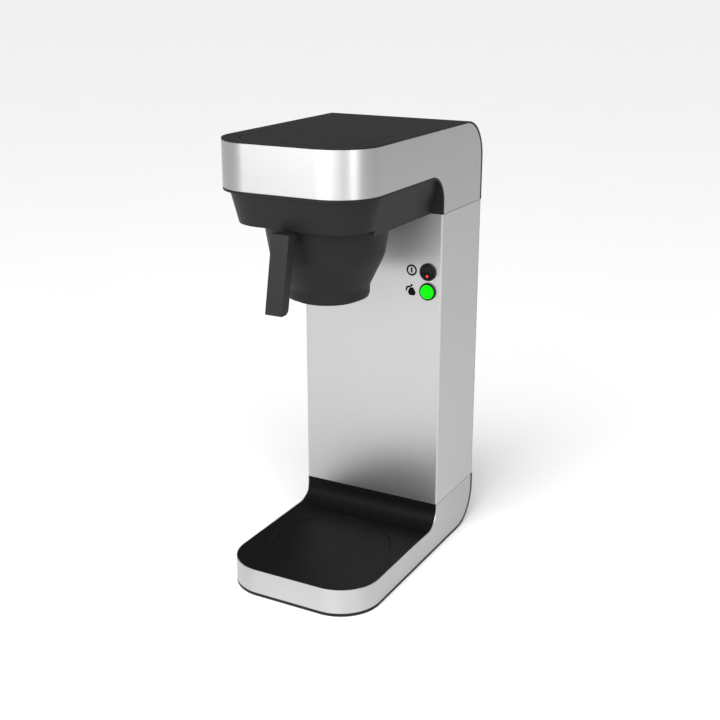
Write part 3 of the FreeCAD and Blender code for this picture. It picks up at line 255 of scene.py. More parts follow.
class Finishes(bpy.types.PropertyGroup):
    """Base colours of the finishes."""
    steel: colour("Steel", "Brushed stainless steel", (0.45, 0.45, 0.447))
    black: colour("Black", "Black mouldings", (0.0105, 0.0105, 0.0102))
    # Painted shade: the serving plate's black is set about three times darker than the other mouldings' black,
    # standing in for the shade that the head and column cast on the plate
    plate: colour("Plate", "Matt black of the serving plate", (0.0032, 0.0032, 0.0032))
    handle: colour("Handle", "Dark grey handle", (0.0105, 0.0108, 0.0107))
    switch: colour("Switch", "Polished black of the switches", (0.0035, 0.0035, 0.0035))
    ink: colour("Ink", "Printed symbols", (0.002, 0.002, 0.002))
    green: colour("Green", "Lit lens of the button", (0.002, 0.95, 0.003))
    red: colour("Red", "Lit neon", (1.0, 0.03, 0.02))
    tank: colour("Tank", "Natural polypropylene", (0.72, 0.72, 0.68))
    silicone: colour("Silicone", "Hoses", (0.62, 0.60, 0.55))
    board: colour("Board", "Solder mask", (0.012, 0.12, 0.04))
    brass: colour("Brass", "Contacts", (0.72, 0.52, 0.22))
    zinc: colour("Zinc", "Galvanised sheet", (0.47, 0.49, 0.50))
    casting: colour("Casting", "Cast aluminium", (0.58, 0.58, 0.57))
    rubber: colour("Rubber", "Feet", (0.022, 0.022, 0.022))
    floor: colour("Floor", "Studio floor", (0.92, 0.92, 0.92))


GROUPS = {
    "brewer_shells": ShellSizes, "brewer_skirt": SkirtSizes, "brewer_flap": FlapSizes,
    "brewer_basket": BasketSizes, "brewer_controls": ControlSizes, "brewer_finishes": Finishes,
}


# ---- outlines and solids
def rounded(corners):
    """The points of a closed outline through (u, v, radius) corners, each rounded to its radius."""
    points = []
    for i, (u, v, radius) in enumerate(corners):
        here = Vector((u, v))
        back = (Vector(corners[i - 1][:2]) - here).normalized()
        on = (Vector(corners[(i + 1) % len(corners)][:2]) - here).normalized()
        if radius <= 0:
            points.append(here)
            continue
        half = back.angle(on) / 2
        centre = here + (back + on).normalized() * radius / math.sin(half)
        start = here + back * radius / math.tan(half) - centre
        end = here + on * radius / math.tan(half) - centre
        sweep = math.copysign(math.pi - 2 * half, start.x * end.y - start.y * end.x)
        step = max(ARC_STEP, SHORTEST_EDGE / radius)
        count = max(2, math.ceil(abs(sweep) / step))
        for k in range(count + 1):
            turn = sweep * k / count
            c, s = math.cos(turn), math.sin(turn)
            points.append(centre + Vector((c * start.x - s * start.y, s * start.x + c * start.y)))
    return points


def on_plan(p, level):
    return (p.x, p.y, level)


def on_side(p, across):
    return (across, p.x, p.y)


def on_front(p, depth):
    return (p.x, depth, p.y)


def new_piece(mesh, name="blank"):
    """A bmesh as an object of its own, with its faces turned outwards."""
    bmesh.ops.remove_doubles(mesh, verts=mesh.verts, dist=HAIR / 10)
    bmesh.ops.recalc_face_normals(mesh, faces=mesh.faces)
    data = bpy.data.meshes.new(name)
    mesh.to_mesh(data)
    mesh.free()
    piece = bpy.data.objects.new(name, data)
    bpy.context.scene.collection.objects.link(piece)
    return piece


def lofted(low, high, low_level, high_level, place=on_plan):
    """A closed solid between two rounded outlines with as many points each."""
    mesh = bmesh.new()
    rings = []
    for corners, level in ((low, low_level), (high, high_level)):
        rings.append([mesh.verts.new(place(p, level)) for p in rounded(corners)])
    mesh.faces.new(rings[0])
    mesh.faces.new(rings[1][::-1])
    count = len(rings[0])
    for i in range(count):
        j = (i + 1) % count
        mesh.faces.new((rings[0][i], rings[0][j], rings[1][j], rings[1][i]))
    return new_piece(mesh)


def prism(corners, low, high, place=on_plan):
    """A closed solid between two copies of a rounded outline."""
    return lofted(corners, corners, low, high, place)


def side_prism(corners):
    """A solid right across the machine with the (y, z) outline."""
    return prism(corners, -HALF - 2 * PAST, HALF + 2 * PAST, on_side)


def rectangle(u0, u1, v0, v1, radius=0.0):
    return [(u0, v0, radius), (u1, v0, radius), (u1, v1, radius), (u0, v1, radius)]


def block(x0, x1, y0, y1, z0, z1):
    return prism(rectangle(x0, x1, y0, y1), z0, z1)


def turned(profile, centre, axis="Z"):
    """A closed outline of (radius, along) corners turned about an axis through centre."""
    mesh = bmesh.new()
    outline = rounded(profile)
    rings = []
    for step in range(SPIN_STEPS):
        around = 2 * math.pi * step / SPIN_STEPS
        c, s = math.cos(around), math.sin(around)
        ring = []
        for p in outline:
            spots = {"Z": (p.x * c, p.x * s, p.y), "Y": (p.x * c, p.y, p.x * s), "X": (p.y, p.x * c, p.x * s)}
            ring.append(mesh.verts.new(Vector(centre) + Vector(spots[axis])))
        rings.append(ring)
    count = len(outline)
    for a, b in zip(rings, rings[1:] + rings[:1]):
        for i in range(count):
            j = (i + 1) % count
            mesh.faces.new((a[i], a[j], b[j], b[i]))
    bmesh.ops.remove_doubles(mesh, verts=mesh.verts, dist=HAIR / 2)
    bmesh.ops.dissolve_degenerate(mesh, edges=mesh.edges, dist=HAIR / 10)
    return new_piece(mesh)


def rod(radius, start, end, axis):
    """A round bar along one axis."""
    long = (Vector(end) - Vector(start)).length
    return turned([(0, 0, 0), (radius, 0, 0), (radius, long, 0), (0, long, 0)], start, axis)


def settle(piece):
    """Turns the piece with its modifiers into a plain mesh."""
    bpy.context.view_layer.update()
    graph = bpy.context.evaluated_depsgraph_get()
    mesh = bpy.data.meshes.new_from_object(piece.evaluated_get(graph), depsgraph=graph)
    piece.modifiers.clear()
    piece.data = mesh
    return piece


def combine(piece, tool, operation):
    change = piece.modifiers.new("combine", "BOOLEAN")
    change.operation = operation
    change.solver = "EXACT"
    change.object = tool
    settle(piece)
    bpy.data.objects.remove(tool)
    return piece


def copy_of(piece):
    twin = piece.copy()
    twin.data = piece.data.copy()
    bpy.context.scene.collection.objects.link(twin)
    return twin


def cut(piece, *tools):
    for tool in tools:
        combine(piece, tool, "DIFFERENCE")
    return piece


def keep(piece, tool):
    return combine(piece, tool, "INTERSECT")


def join(piece, *others):
    for other in others:
        combine(piece, other, "UNION")
    return piece


def shade(piece):
    """Smooth shading with firm edges."""
    piece.data.polygons.foreach_set("use_smooth", [True] * len(piece.data.polygons))
    piece.data.set_sharp_from_angle(angle=SHARP_ANGLE)
    weight = piece.modifiers.new("weight", "WEIGHTED_NORMAL")
    weight.keep_sharp = True
    return settle(piece)


def soften(piece, width, segments=2):
    """Breaks the sharp edges with a small round and smooths the shading."""
    mesh = bmesh.new()
    mesh.from_mesh(piece.data)
    bmesh.ops.remove_doubles(mesh, verts=mesh.verts, dist=HAIR)
    bmesh.ops.dissolve_degenerate(mesh, edges=mesh.edges, dist=HAIR)
    mesh.to_mesh(piece.data)
    mesh.free()
    bevel = piece.modifiers.new("edges", "BEVEL")
    bevel.width = width
    bevel.segments = segments
    bevel.limit_method = "ANGLE"
    bevel.angle_limit = BEVEL_ANGLE
    bevel.use_clamp_overlap = True
    settle(piece)
    return shade(piece)


def finished(piece, name, body, material, slot, *nodes):
    """Names a finished piece, dresses it and puts it on its body in place of CAD nodes."""
    piece.name = name
    piece.data.name = name
    piece.data.materials.clear()
    piece.data.materials.append(finish(material))
    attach(piece, body)
    if nodes:
        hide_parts(*nodes)
    return piece


# ---- shader nodes as plain expressions
class Value:
    """A number from a shader socket that takes part in arithmetic."""

    def __init__(self, tree, out):
        self.tree = tree
        self.out = out

    def _math(self, operation, first, second):
        return self.tree.add("ShaderNodeMath", {"operation": operation}, {0: first, 1: second})

    def __add__(self, other):
        return self._math("ADD", self, other)

    def __radd__(self, other):
        return self._math("ADD", other, self)

    def __sub__(self, other):
        return self._math("SUBTRACT", self, other)

    def __rsub__(self, other):
        return self._math("SUBTRACT", other, self)

    def __mul__(self, other):
        return self._math("MULTIPLY", self, other)

    def __rmul__(self, other):
        return self._math("MULTIPLY", other, self)


class Finish:
    """A material whose nodes are added with one method."""

    def __init__(self, name):
        self.material = bpy.data.materials.new(name)
        self.material.use_nodes = True
        self.nodes = self.material.node_tree.nodes
        self.links = self.material.node_tree.links
        self.shader = self.nodes["Principled BSDF"]

    def add(self, kind, settings=None, inputs=None, output=0):
        """Any node: its settings first, then the values or links of its sockets."""
        node = self.nodes.new(kind)
        for key, value in (settings or {}).items():
            if key == "stops":
                self.stops(node.color_ramp, value)
            else:
                setattr(node, key, value)
        for key, value in (inputs or {}).items():
            self.feed(node.inputs[key], value)
        return Value(self, node.outputs[output])

    def stops(self, ramp, stops):
        while len(ramp.elements) < len(stops):
            ramp.elements.new(0.5)
        for element, (position, level) in zip(ramp.elements, stops):
            element.position = position
            element.color = (level, level, level, 1.0)

    def feed(self, socket, value):
        if isinstance(value, Value):
            self.links.new(value.out, socket)
        else:
            socket.default_value = value

    def set(self, **values):
        for key, value in values.items():
            self.feed(self.shader.inputs[key.replace("_", " ").title()], value)
        return self

    def place(self, scale=(1.0, 1.0, 1.0)):
        spot = self.add("ShaderNodeTexCoord", output=3)
        return self.add("ShaderNodeMapping", {}, {"Vector": spot, "Scale": scale})

    def noise(self, where, scale, detail=3.0, roughness=0.5):
        sockets = {"Vector": where, "Scale": scale, "Detail": detail, "Roughness": roughness}
        return self.add("ShaderNodeTexNoise", {}, sockets)

    def ramp(self, value, *stops):
        return self.add("ShaderNodeValToRGB", {"stops": stops}, {0: value})

    def blend(self, factor, first, second):
        return self.add("ShaderNodeMix", {"data_type": "RGBA"}, {0: factor, 6: first, 7: second}, 2)

    def tint(self, factor, base, low, high):
        """The base colour from a darker to a lighter shade as the factor rises."""
        return self.blend(factor, shades(base, low), shades(base, high))

    def gloss(self, level):
        self.shader.inputs["Specular IOR Level"].default_value = level

    def bump(self, height, strength, distance):
        sockets = {"Height": height, "Strength": strength, "Distance": distance}
        return self.set(normal=self.add("ShaderNodeBump", {}, sockets))


def shades(colour_value, factor):
    return tuple(min(1.0, c * factor) for c in colour_value) + (1.0,)


def uneven(roughness, *swings):
    """A roughness that swings about its middle value with each (pattern, swing)."""
    level = roughness - sum(swing for _, swing in swings) / 2
    for pattern, swing in swings:
        level = pattern * swing + level
    return level


def brushed_steel(name, base, grain, roughness, turn):
    """Brushed stainless: long fine scratches along the grain, satin patches and faint smudges."""
    made = Finish(name)
    along = made.place(grain)
    fine = made.noise(along, 2600.0, 3.0, 0.6)
    coarse = made.noise(along, 800.0, 3.0, 0.6)
    smudge = made.noise(made.place(), 9.0, 3.0, 0.55)
    scratches = fine * 0.75 + coarse * 0.25
    made.set(
        base_color=made.tint(scratches, base, 0.955, 1.045),
        metallic=1.0,
        roughness=uneven(roughness, (scratches, 0.05), (smudge, 0.05)),
        anisotropic=0.6,
        anisotropic_rotation=turn,
    )
    made.bump(scratches, 0.03, 0.02 * MM)
    return made.material


def moulded(name, base, roughness, depth=0.22, gloss=0.12):
    """Moulded plastic with a fine spark-eroded texture, slightly uneven gloss and a little dust."""
    made = Finish(name)
    where = made.place()
    pebble = made.noise(where, 1300.0, 2.0, 0.6)
    cloud = made.noise(where, 12.0, 3.0, 0.5)
    dust = made.ramp(made.noise(where, 140.0, 4.0, 0.7), (0.60, 0.0), (0.82, 1.0))
    made.set(
        base_color=made.tint(cloud * 0.5 + dust * 0.2, base, 0.9, 1.3),
        roughness=uneven(roughness, (cloud, 0.10), (pebble, 0.08)),
    )
    made.gloss(gloss)
    made.bump(pebble, depth, 0.05 * MM)
    return made.material


def polished(name, base, roughness, gloss):
    """Polished switch plastic with a faint ripple and handling haze."""
    made = Finish(name)
    haze = made.noise(made.place(), 70.0, 3.0, 0.6)
    made.set(
        base_color=made.tint(haze, base, 0.9, 1.5),
        roughness=uneven(roughness, (haze, 0.14)),
    )
    made.gloss(gloss)
    made.bump(haze, 0.05, 0.1 * MM)
    return made.material


def bare_metal(name, base, roughness, grain_scale):
    """Pressed or machined metal with a light random grain."""
    made = Finish(name)
    grain = made.noise(made.place(), grain_scale, 4.0, 0.6)
    stain = made.noise(made.place(), 30.0, 3.0, 0.5)
    made.set(
        base_color=made.tint(stain, base, 0.82, 1.06),
        metallic=1.0,
        roughness=uneven(roughness, (grain, 0.14), (stain, 0.08)),
    )
    made.bump(grain, 0.10, 0.05 * MM)
    return made.material


def lit(name, base, strength):
    """A lit plastic lens with a fine moulded pattern."""
    made = Finish(name)
    pattern = made.noise(made.place(), 700.0, 2.0, 0.5)
    glow = made.tint(pattern, base, 0.9, 1.1)
    made.set(
        base_color=glow, emission_color=glow, emission_strength=strength,
        roughness=uneven(0.20, (pattern, 0.1)),
    )
    made.gloss(0.04)
    made.bump(pattern, 0.08, 0.1 * MM)
    return made.material


def soft_rubber(name, base):
    made = Finish(name)
    grain = made.noise(made.place(), 900.0, 3.0, 0.6)
    made.set(base_color=made.tint(grain, base, 0.8, 1.3), roughness=uneven(0.75, (grain, 0.1)))
    made.bump(grain, 0.2, 0.05 * MM)
    return made.material


def milky(name, base, roughness):
    """Natural plastic that lets some light into it."""
    made = Finish(name)
    cloud = made.noise(made.place(), 25.0, 3.0, 0.5)
    fine = made.noise(made.place(), 600.0, 2.0, 0.5)
    made.set(
        base_color=made.tint(cloud, base, 0.92, 1.05),
        roughness=uneven(roughness, (cloud, 0.1), (fine, 0.06)),
        subsurface_weight=0.15,
        subsurface_scale=2.0 * MM,
    )
    made.bump(fine, 0.08, 0.05 * MM)
    return made.material


def solder_mask(name, base):
    """Green solder mask with faint copper tracks under it."""
    made = Finish(name)
    tracks = made.add("ShaderNodeTexVoronoi", {"feature": "F1", "distance": "MANHATTAN"}, {
        "Vector": made.place(), "Scale": 260.0})
    lines = made.ramp(tracks, (0.42, 0.0), (0.5, 1.0))
    made.set(base_color=made.tint(lines, base, 1.0, 2.0), roughness=uneven(0.34, (lines, 0.12)))
    made.bump(lines, 0.3, 0.05 * MM)
    return made.material


def studio_floor(name, base):
    made = Finish(name)
    cloud = made.noise(made.place(), 3.0, 3.0, 0.5)
    made.set(base_color=made.tint(cloud, base, 0.99, 1.01), roughness=uneven(0.825, (cloud, 0.05)))
    return made.material


LEVEL_GRAIN = (0.02, 0.02, 1.0)
UPRIGHT_GRAIN = (1.0, 1.0, 0.02)
FINISHES = {  # what makes it and its base colour, then the maker's own settings in their order
    "Stainless level grain": (brushed_steel, "steel", LEVEL_GRAIN, 0.40, 0.25),
    "Stainless upright grain": (brushed_steel, "steel", UPRIGHT_GRAIN, 0.40, 0.0),
    "Black moulding": (moulded, "black", 0.48),
    # The plate's darker base colour is painted shade for the shadow under the head and column, not a different
    # plastic
    "Plate moulding": (moulded, "plate", 0.46, 0.22, 0.05),
    "Grey moulding": (moulded, "handle", 0.45, 0.18, 0.16),
    "Bright steel": (bare_metal, "steel", 0.25, 300.0),
    "Galvanised sheet": (bare_metal, "zinc", 0.42, 90.0),
    "Cast aluminium": (bare_metal, "casting", 0.5, 700.0),
    "Brass contact": (bare_metal, "brass", 0.25, 300.0),
    "Natural tank": (milky, "tank", 0.35),
    "Clear silicone": (milky, "silicone", 0.42),
    "Solder mask": (solder_mask, "board"),
    "Switch black": (polished, "switch", 0.34, 0.18),
    "Printed ink": (polished, "ink", 0.6, 0.05),
    "Red light": (lit, "red", 1.2),
    "Green light": (lit, "green", 0.85),
    "Foot rubber": (soft_rubber, "rubber"),
    "Studio floor": (studio_floor, "floor"),
}


def finish(name):
    """The finish with this name, made when it is first wanted."""
    maker, base, *settings = FINISHES[name]
    colours = bpy.context.scene.brewer_finishes
    return bpy.data.materials.get(name) or maker(name, getattr(colours, base), *settings)


# ---- geometry nodes as plain calls
class Pattern:
    """A geometry node tree with named inputs, which ends in one plain mesh."""

    def __init__(self, name):
        self.tree = bpy.data.node_groups.new(name, "GeometryNodeTree")
        self.tree.interface.new_socket("Geometry", in_out="INPUT", socket_type="NodeSocketGeometry")
        self.tree.interface.new_socket("Geometry", in_out="OUTPUT", socket_type="NodeSocketGeometry")
        self.start = self.tree.nodes.new("NodeGroupInput")
        self.end = self.tree.nodes.new("NodeGroupOutput")
        self.keys = {}

    def input(self, name, kind, value):
        """A named input: its socket's identifier is what a modifier sets."""
        socket = self.tree.interface.new_socket(name, in_out="INPUT", socket_type="NodeSocket" + kind)
        socket.default_value = value
        self.keys[name] = socket.identifier
        return self.start.outputs[name]

    def add(self, kind, settings=None, inputs=None, output=0):
        node = self.tree.nodes.new(kind)
        for key, value in (settings or {}).items():
            setattr(node, key, value)
        for key, value in (inputs or {}).items():
            if isinstance(value, bpy.types.NodeSocket):
                self.tree.links.new(value, node.inputs[key])
            else:
                node.inputs[key].default_value = value
        return node.outputs[output]

    def maths(self, operation, first, second):
        return self.add("ShaderNodeMath", {"operation": operation}, {0: first, 1: second})

    def vector(self, x=0.0, y=0.0, z=0.0):
        return self.add("ShaderNodeCombineXYZ", {}, {0: x, 1: y, 2: z})

    def moved(self, geometry, **how):
        sockets = {key.title(): value for key, value in how.items()}
        return self.add("GeometryNodeTransform", {}, {"Geometry": geometry, **sockets})

    def boolean(self, operation, first, *others):
        out = self.add("GeometryNodeMeshBoolean", {"operation": operation, "solver": "EXACT"})
        tools = out.node.inputs[1]
        if operation == "DIFFERENCE":
            self.tree.links.new(first, out.node.inputs[0])
        else:
            self.tree.links.new(first, tools)
        for other in others:
            self.tree.links.new(other, tools)
        return out

    def on_points(self, points, shape, **how):
        sockets = {key.title(): value for key, value in how.items()}
        return self.add("GeometryNodeInstanceOnPoints", {}, {"Points": points, "Instance": shape, **sockets})

    def finish(self, geometry, material):
        """Ends the tree: real geometry with its material."""
        real = self.add("GeometryNodeRealizeInstances", {}, {0: geometry})
        dressed = self.add("GeometryNodeSetMaterial", {}, {"Geometry": real, "Material": finish(material)})
        self.tree.links.new(dressed, self.end.inputs[0])
        return self

    def grown(self, piece, values):
        """The piece with this tree's result as a plain mesh."""
        grow = piece.modifiers.new("pattern", "NODES")
        grow.node_group = self.tree
        for name, value in values.items():
            grow[self.keys[name]] = value
        return settle(piece)


def spots_piece(spots):
    """A piece of loose points, for a pattern to grow on."""
    data = bpy.data.meshes.new("spots")
    data.from_pydata([tuple(s) for s in spots], [], [])
    piece = bpy.data.objects.new("spots", data)
    bpy.context.scene.collection.objects.link(piece)
    return piece


def screw_pattern():
    """Domed screw heads with a cross recess, one on each point, drawn with a radius and height of 1."""
    p = Pattern("screw_heads")
    radius = p.input("Head radius", "Float", 3.4 * MM)
    height = p.input("Head height", "Float", 1.1 * MM)
    turn = p.input("Turn", "Vector", (0.0, 0.0, 0.0))
    drum = p.add("GeometryNodeMeshCylinder", {}, {"Vertices": 40, "Radius": 1.0, "Depth": 2.0})
    ball = p.add("GeometryNodeMeshUVSphere", {}, {"Segments": 40, "Rings": 24, "Radius": 1.28})
    domed = p.boolean("INTERSECT", drum, p.moved(ball, translation=(0.0, 0.0, -0.28)))
    below = p.add("GeometryNodeMeshCube", {}, {"Size": (4.0, 4.0, 2.0)})
    wing_a = p.add("GeometryNodeMeshCube", {}, {"Size": (1.1, 0.22, 1.0)})
    wing_b = p.add("GeometryNodeMeshCube", {}, {"Size": (0.22, 1.1, 1.0)})
    cross = p.moved(p.boolean("UNION", wing_a, wing_b), translation=(0.0, 0.0, 1.05))
    head = p.boolean("DIFFERENCE", domed, p.moved(below, translation=(0.0, 0.0, -1.0)), cross)
    sized = p.moved(head, scale=p.vector(radius, radius, height))
    return p.finish(p.on_points(p.start.outputs[0], p.moved(sized, rotation=turn)), "Bright steel")


def vent_pattern():
    """Cuts a column of round-ended vent slots through the panel that it is put on."""
    p = Pattern("vent_slots")
    rows = p.input("Rows", "Int", 6)
    pitch = p.input("Pitch", "Float", 10.0 * MM)
    width = p.input("Slot width", "Float", 4.5 * MM)
    half = p.input("Half length", "Float", 45.0 * MM)
    top = p.input("Top slot", "Vector", (0.0, 0.0, 0.0))
    deep = 6.0 * MM
    long = p.maths("SUBTRACT", p.maths("MULTIPLY", half, 2.0), width)
    bar = p.add("GeometryNodeMeshCube", {}, {"Size": p.vector(long, deep, width)})
    drum = p.add("GeometryNodeMeshCylinder", {}, {
        "Vertices": 32, "Radius": p.maths("DIVIDE", width, 2.0), "Depth": deep})
    lying = p.moved(drum, rotation=(math.radians(90), 0.0, 0.0))
    reach = p.maths("DIVIDE", long, 2.0)
    left = p.moved(lying, translation=p.vector(p.maths("MULTIPLY", reach, -1.0)))
    right = p.moved(lying, translation=p.vector(reach))
    slot = p.boolean("UNION", bar, left, right)
    step = p.vector(0.0, 0.0, p.maths("MULTIPLY", pitch, -1.0))
    line = p.add("GeometryNodeMeshLine", {}, {"Count": rows, "Start Location": top, "Offset": step})
    slots = p.add("GeometryNodeRealizeInstances", {}, {0: p.on_points(line, slot)})
    return p.finish(p.boolean("DIFFERENCE", p.start.outputs[0], slots), "Stainless upright grain")


def rib_pattern():
    """Ribs that radiate from the middle of a round floor, one set on each point."""
    p = Pattern("floor_ribs")
    count = p.input("Ribs", "Int", 8)
    near = p.input("Inner end", "Float", 12.0 * MM)
    far = p.input("Outer end", "Float", 51.0 * MM)
    width = p.input("Rib width", "Float", 1.6 * MM)
    height = p.input("Rib height", "Float", 9.0 * MM)
    long = p.maths("SUBTRACT", far, near)
    middle = p.maths("DIVIDE", p.maths("ADD", far, near), 2.0)
    rib = p.add("GeometryNodeMeshCube", {}, {"Size": p.vector(long, width, height)})
    ring = p.add("GeometryNodeMeshCircle", {}, {"Vertices": count, "Radius": middle})
    index = p.add("GeometryNodeInputIndex")
    part = p.maths("DIVIDE", index, count)
    turn = p.vector(0.0, 0.0, p.maths("MULTIPLY", part, 2 * math.pi))
    ribs = p.on_points(ring, rib, rotation=turn)
    half_step = p.maths("DIVIDE", math.pi, count)
    set_of = p.moved(ribs, rotation=p.vector(0.0, 0.0, half_step))
    return p.finish(p.on_points(p.start.outputs[0], set_of), "Black moulding")


def foot_pattern():
    """Round pads with a stem, one on each point."""
    p = Pattern("foot_pads")
    radius = p.input("Pad radius", "Float", 13.0 * MM)
    height = p.input("Pad height", "Float", 1.0 * MM)
    stem = p.input("Stem radius", "Float", 5.0 * MM)
    long = p.input("Stem length", "Float", 4.0 * MM)
    pad = p.add("GeometryNodeMeshCylinder", {}, {"Vertices": 72, "Radius": radius, "Depth": height})
    post = p.add("GeometryNodeMeshCylinder", {}, {"Vertices": 72, "Radius": stem, "Depth": long})
    low = p.moved(pad, translation=p.vector(0.0, 0.0, p.maths("DIVIDE", height, 2.0)))
    high = p.moved(post, translation=p.vector(0.0, 0.0, p.maths("DIVIDE", long, 2.0)))
    return p.finish(p.on_points(p.start.outputs[0], p.boolean("UNION", low, high)), "Foot rubber")


# ---- outlines that the shells share
def u_outline(inset, back):
    """Flat front, rounded front corners and straight sides, in plan."""
    radius = bpy.context.scene.brewer_shells.corner - inset
    half = HALF - inset
    front = FRONT + inset
    return [(-half, back, 0), (-half, front, radius), (half, front, radius), (half, back, 0)]


def u_ring(outer, inner, back):
    """The plan of a strip that follows the U outline between two insets."""
    return u_outline(outer, back) + u_outline(inner, back)[::-1]


def head_profile():
    sizes = bpy.context.scene.brewer_shells
    return [
        (FRONT - 3 * PAST, BAND_BOTTOM, 0),
        (HEAD_CHEEK, BAND_BOTTOM, sizes.notch),
        (HEAD_CHEEK, HEAD_SEAM, 0),
        (HEAD_HIGH.y, HEAD_SEAM, 0),
        (HEAD_HIGH.y, BAND_TOP, sizes.band_bend),
        (FRONT - 3 * PAST, BAND_TOP, 0),
    ]


def base_profile():
    sizes = bpy.context.scene.brewer_shells
    return [
        (FRONT - 3 * PAST, BASE_LOW.z, 0),
        (BASE_HIGH.y, BASE_LOW.z, sizes.base_bend),
        (BASE_HIGH.y, BASE_SEAM, 0),
        (COLUMN_FRONT, BASE_SEAM, 0),
        (COLUMN_FRONT, plate_level(), sizes.cove),
        (FRONT - 3 * PAST, plate_level(), 0),
    ]


def plate_level():
    """The level of the serving plate: the deepest point of the jug's recess and its depth above it."""
    mount = next(m for m in frame["record"]["mounts"] if m["name"] == "server_rest")
    return mount["pos_m"][2] + bpy.context.scene.brewer_shells.ring_depth


def band(profile, outer=0.0):
    """A folded steel band with the side profile."""
    strip = prism(u_ring(outer, bpy.context.scene.brewer_shells.steel, BACK + 2 * PAST), 0, HEIGHT + PAST)
    return keep(strip, side_prism(profile))


class BrewerPiece:
    """What the operators of the pieces share."""
    bl_options = {"REGISTER", "UNDO"}

    def execute(self, context):
        self.build(context.scene)
        return {"FINISHED"}


class BREWER_OT_head_band(BrewerPiece, bpy.types.Operator):
    """Stainless band round the front and sides of the head"""
    bl_idname = "brewer.head_band"
    bl_label = "Head band"

    def build(self, scene):
        made = soften(band(head_profile()), scene.brewer_shells.sheet_edge)
        finished(
            made, "head_band_steel", "housing", "Stainless level grain", "brushed_stainless", "head_band")


def flap_outline(grow):
    """The plan outline of the fill flap, grown all round."""
    flap = bpy.context.scene.brewer_flap
    front = FRONT + flap.front_inset - grow
    front_r = bpy.context.scene.brewer_shells.corner - flap.front_inset + grow
    half = FLAP_HIGH.x + grow
    rear = FLAP_HIGH.y + grow
    return [
        (-half, rear, flap.rear_corner + grow), (-half, front, front_r),
        (half, front, front_r), (half, rear, flap.rear_corner + grow),
    ]


class BREWER_OT_top_cap(BrewerPiece, bpy.types.Operator):
    """Black top cover that wraps over the rear corner, with the flap's opening and ledge"""
    bl_idname = "brewer.top_cap"
    bl_label = "Top cover"

    def build(self, scene):
        shell = scene.brewer_shells
        flap = scene.brewer_flap
        under = HEIGHT - shell.wall
        rim = HEIGHT - shell.turn
        cap = side_prism([
            (FRONT - PAST, rim, 0), (FRONT - PAST, HEIGHT, 0), (BACK, HEIGHT, shell.cap_bend),
            (BACK, HEAD_SEAM, 0), (BACK - shell.turn, HEAD_SEAM, 0),
            (BACK - shell.turn, rim, shell.cap_bend - shell.turn),
        ])
        keep(cap, prism(u_outline(0, BACK + PAST), 0, HEIGHT + PAST))
        hollow = side_prism([
            (FRONT - 2 * PAST, rim - shell.turn, 0), (FRONT - 2 * PAST, under, 0),
            (BACK - shell.wall, under, shell.cap_bend - shell.wall), (BACK - shell.wall, HEAD_SEAM - PAST, 0),
            (BACK - 2 * shell.turn, HEAD_SEAM - PAST, 0), (BACK - 2 * shell.turn, rim - shell.turn, 0),
        ])
        keep(hollow, prism(u_outline(shell.steel + shell.wall, BACK + 2 * PAST), 0, HEIGHT + PAST))
        cut(cap, hollow, band(head_profile(), -PAST))
        cut(cap, prism(flap_outline(flap.gap), under - 2 * PAST, HEIGHT + PAST))
        soften(cap, shell.edge)
        join(cap, self.ledge(flap, under), *self.bosses(flap, under))
        shade(cap)
        finished(cap, "top_cap_moulding", "housing", "Black moulding", "black_moulding", "top_cap")

    def ledge(self, flap, under):
        """The strip under the flap's edge that it rests on."""
        top = under + HAIR
        made = prism(flap_outline(flap.gap + flap.ledge_t), under - flap.ledge_t, top)
        cut(made, prism(flap_outline(-flap.ledge), under - 2 * flap.ledge_t, HEIGHT))
        rear = FLAP_PIN_Y - flap.boss - 2 * flap.gap
        return keep(made, block(-HALF, HALF, FRONT, rear, under - 3 * flap.ledge_t, HEIGHT))

    def bosses(self, flap, under):
        """The two lugs under the cover that hold the flap's pins."""
        made = []
        for side in (-1, 1):
            near = side * (FLAP_HIGH.x + flap.gap)
            far = near + side * flap.boss_width
            low, high = min(near, far), max(near, far)
            front, rear = FLAP_PIN_Y - flap.boss, FLAP_PIN_Y + flap.boss
            boss = rod(flap.boss, (low, FLAP_PIN_Y, FLAP_PIN_Z), (high, FLAP_PIN_Y, FLAP_PIN_Z), "X")
            made.append(join(boss, block(low, high, front, rear, FLAP_PIN_Z, under + HAIR)))
        return made


class BREWER_OT_fill_flap(BrewerPiece, bpy.types.Operator):
    """Tip-up flap over the tank, with its lugs"""
    bl_idname = "brewer.fill_flap"
    bl_label = "Fill flap"

    def build(self, scene):
        flap = scene.brewer_flap
        under = HEIGHT - flap.thickness
        plate = soften(prism(flap_outline(0), under, HEIGHT), scene.brewer_shells.edge)
        front, rear = FLAP_PIN_Y - flap.lug, FLAP_PIN_Y + flap.lug
        for side in (-1, 1):
            ends = sorted((side * FLAP_HIGH.x, side * (FLAP_HIGH.x - flap.lug_width)))
            lug = rod(flap.lug, (ends[0], FLAP_PIN_Y, FLAP_PIN_Z), (ends[1], FLAP_PIN_Y, FLAP_PIN_Z), "X")
            join(lug, block(ends[0], ends[1], front, rear, FLAP_PIN_Z, under + HAIR))
            join(plate, lug)
        shade(plate)
        finished(plate, "fill_flap_moulding", "flap", "Black moulding", "black_moulding", "fill_flap")


def skirt_ring(side, front, radius, wall):
    """The plan of the skirt's wall at one level."""
    rear = COLUMN_FRONT + LIP / 2
    outer = [(-HALF + side, rear, 0), (-HALF + side, FRONT + front, radius),
             (HALF - side, FRONT + front, radius), (HALF - side, rear, 0)]
    inner = [(HALF - side - wall, rear, 0), (HALF - side - wall, FRONT + front + wall, radius - wall),
             (-HALF + side + wall, FRONT + front + wall, radius - wall), (-HALF + side + wall, rear, 0)]
    return outer + inner


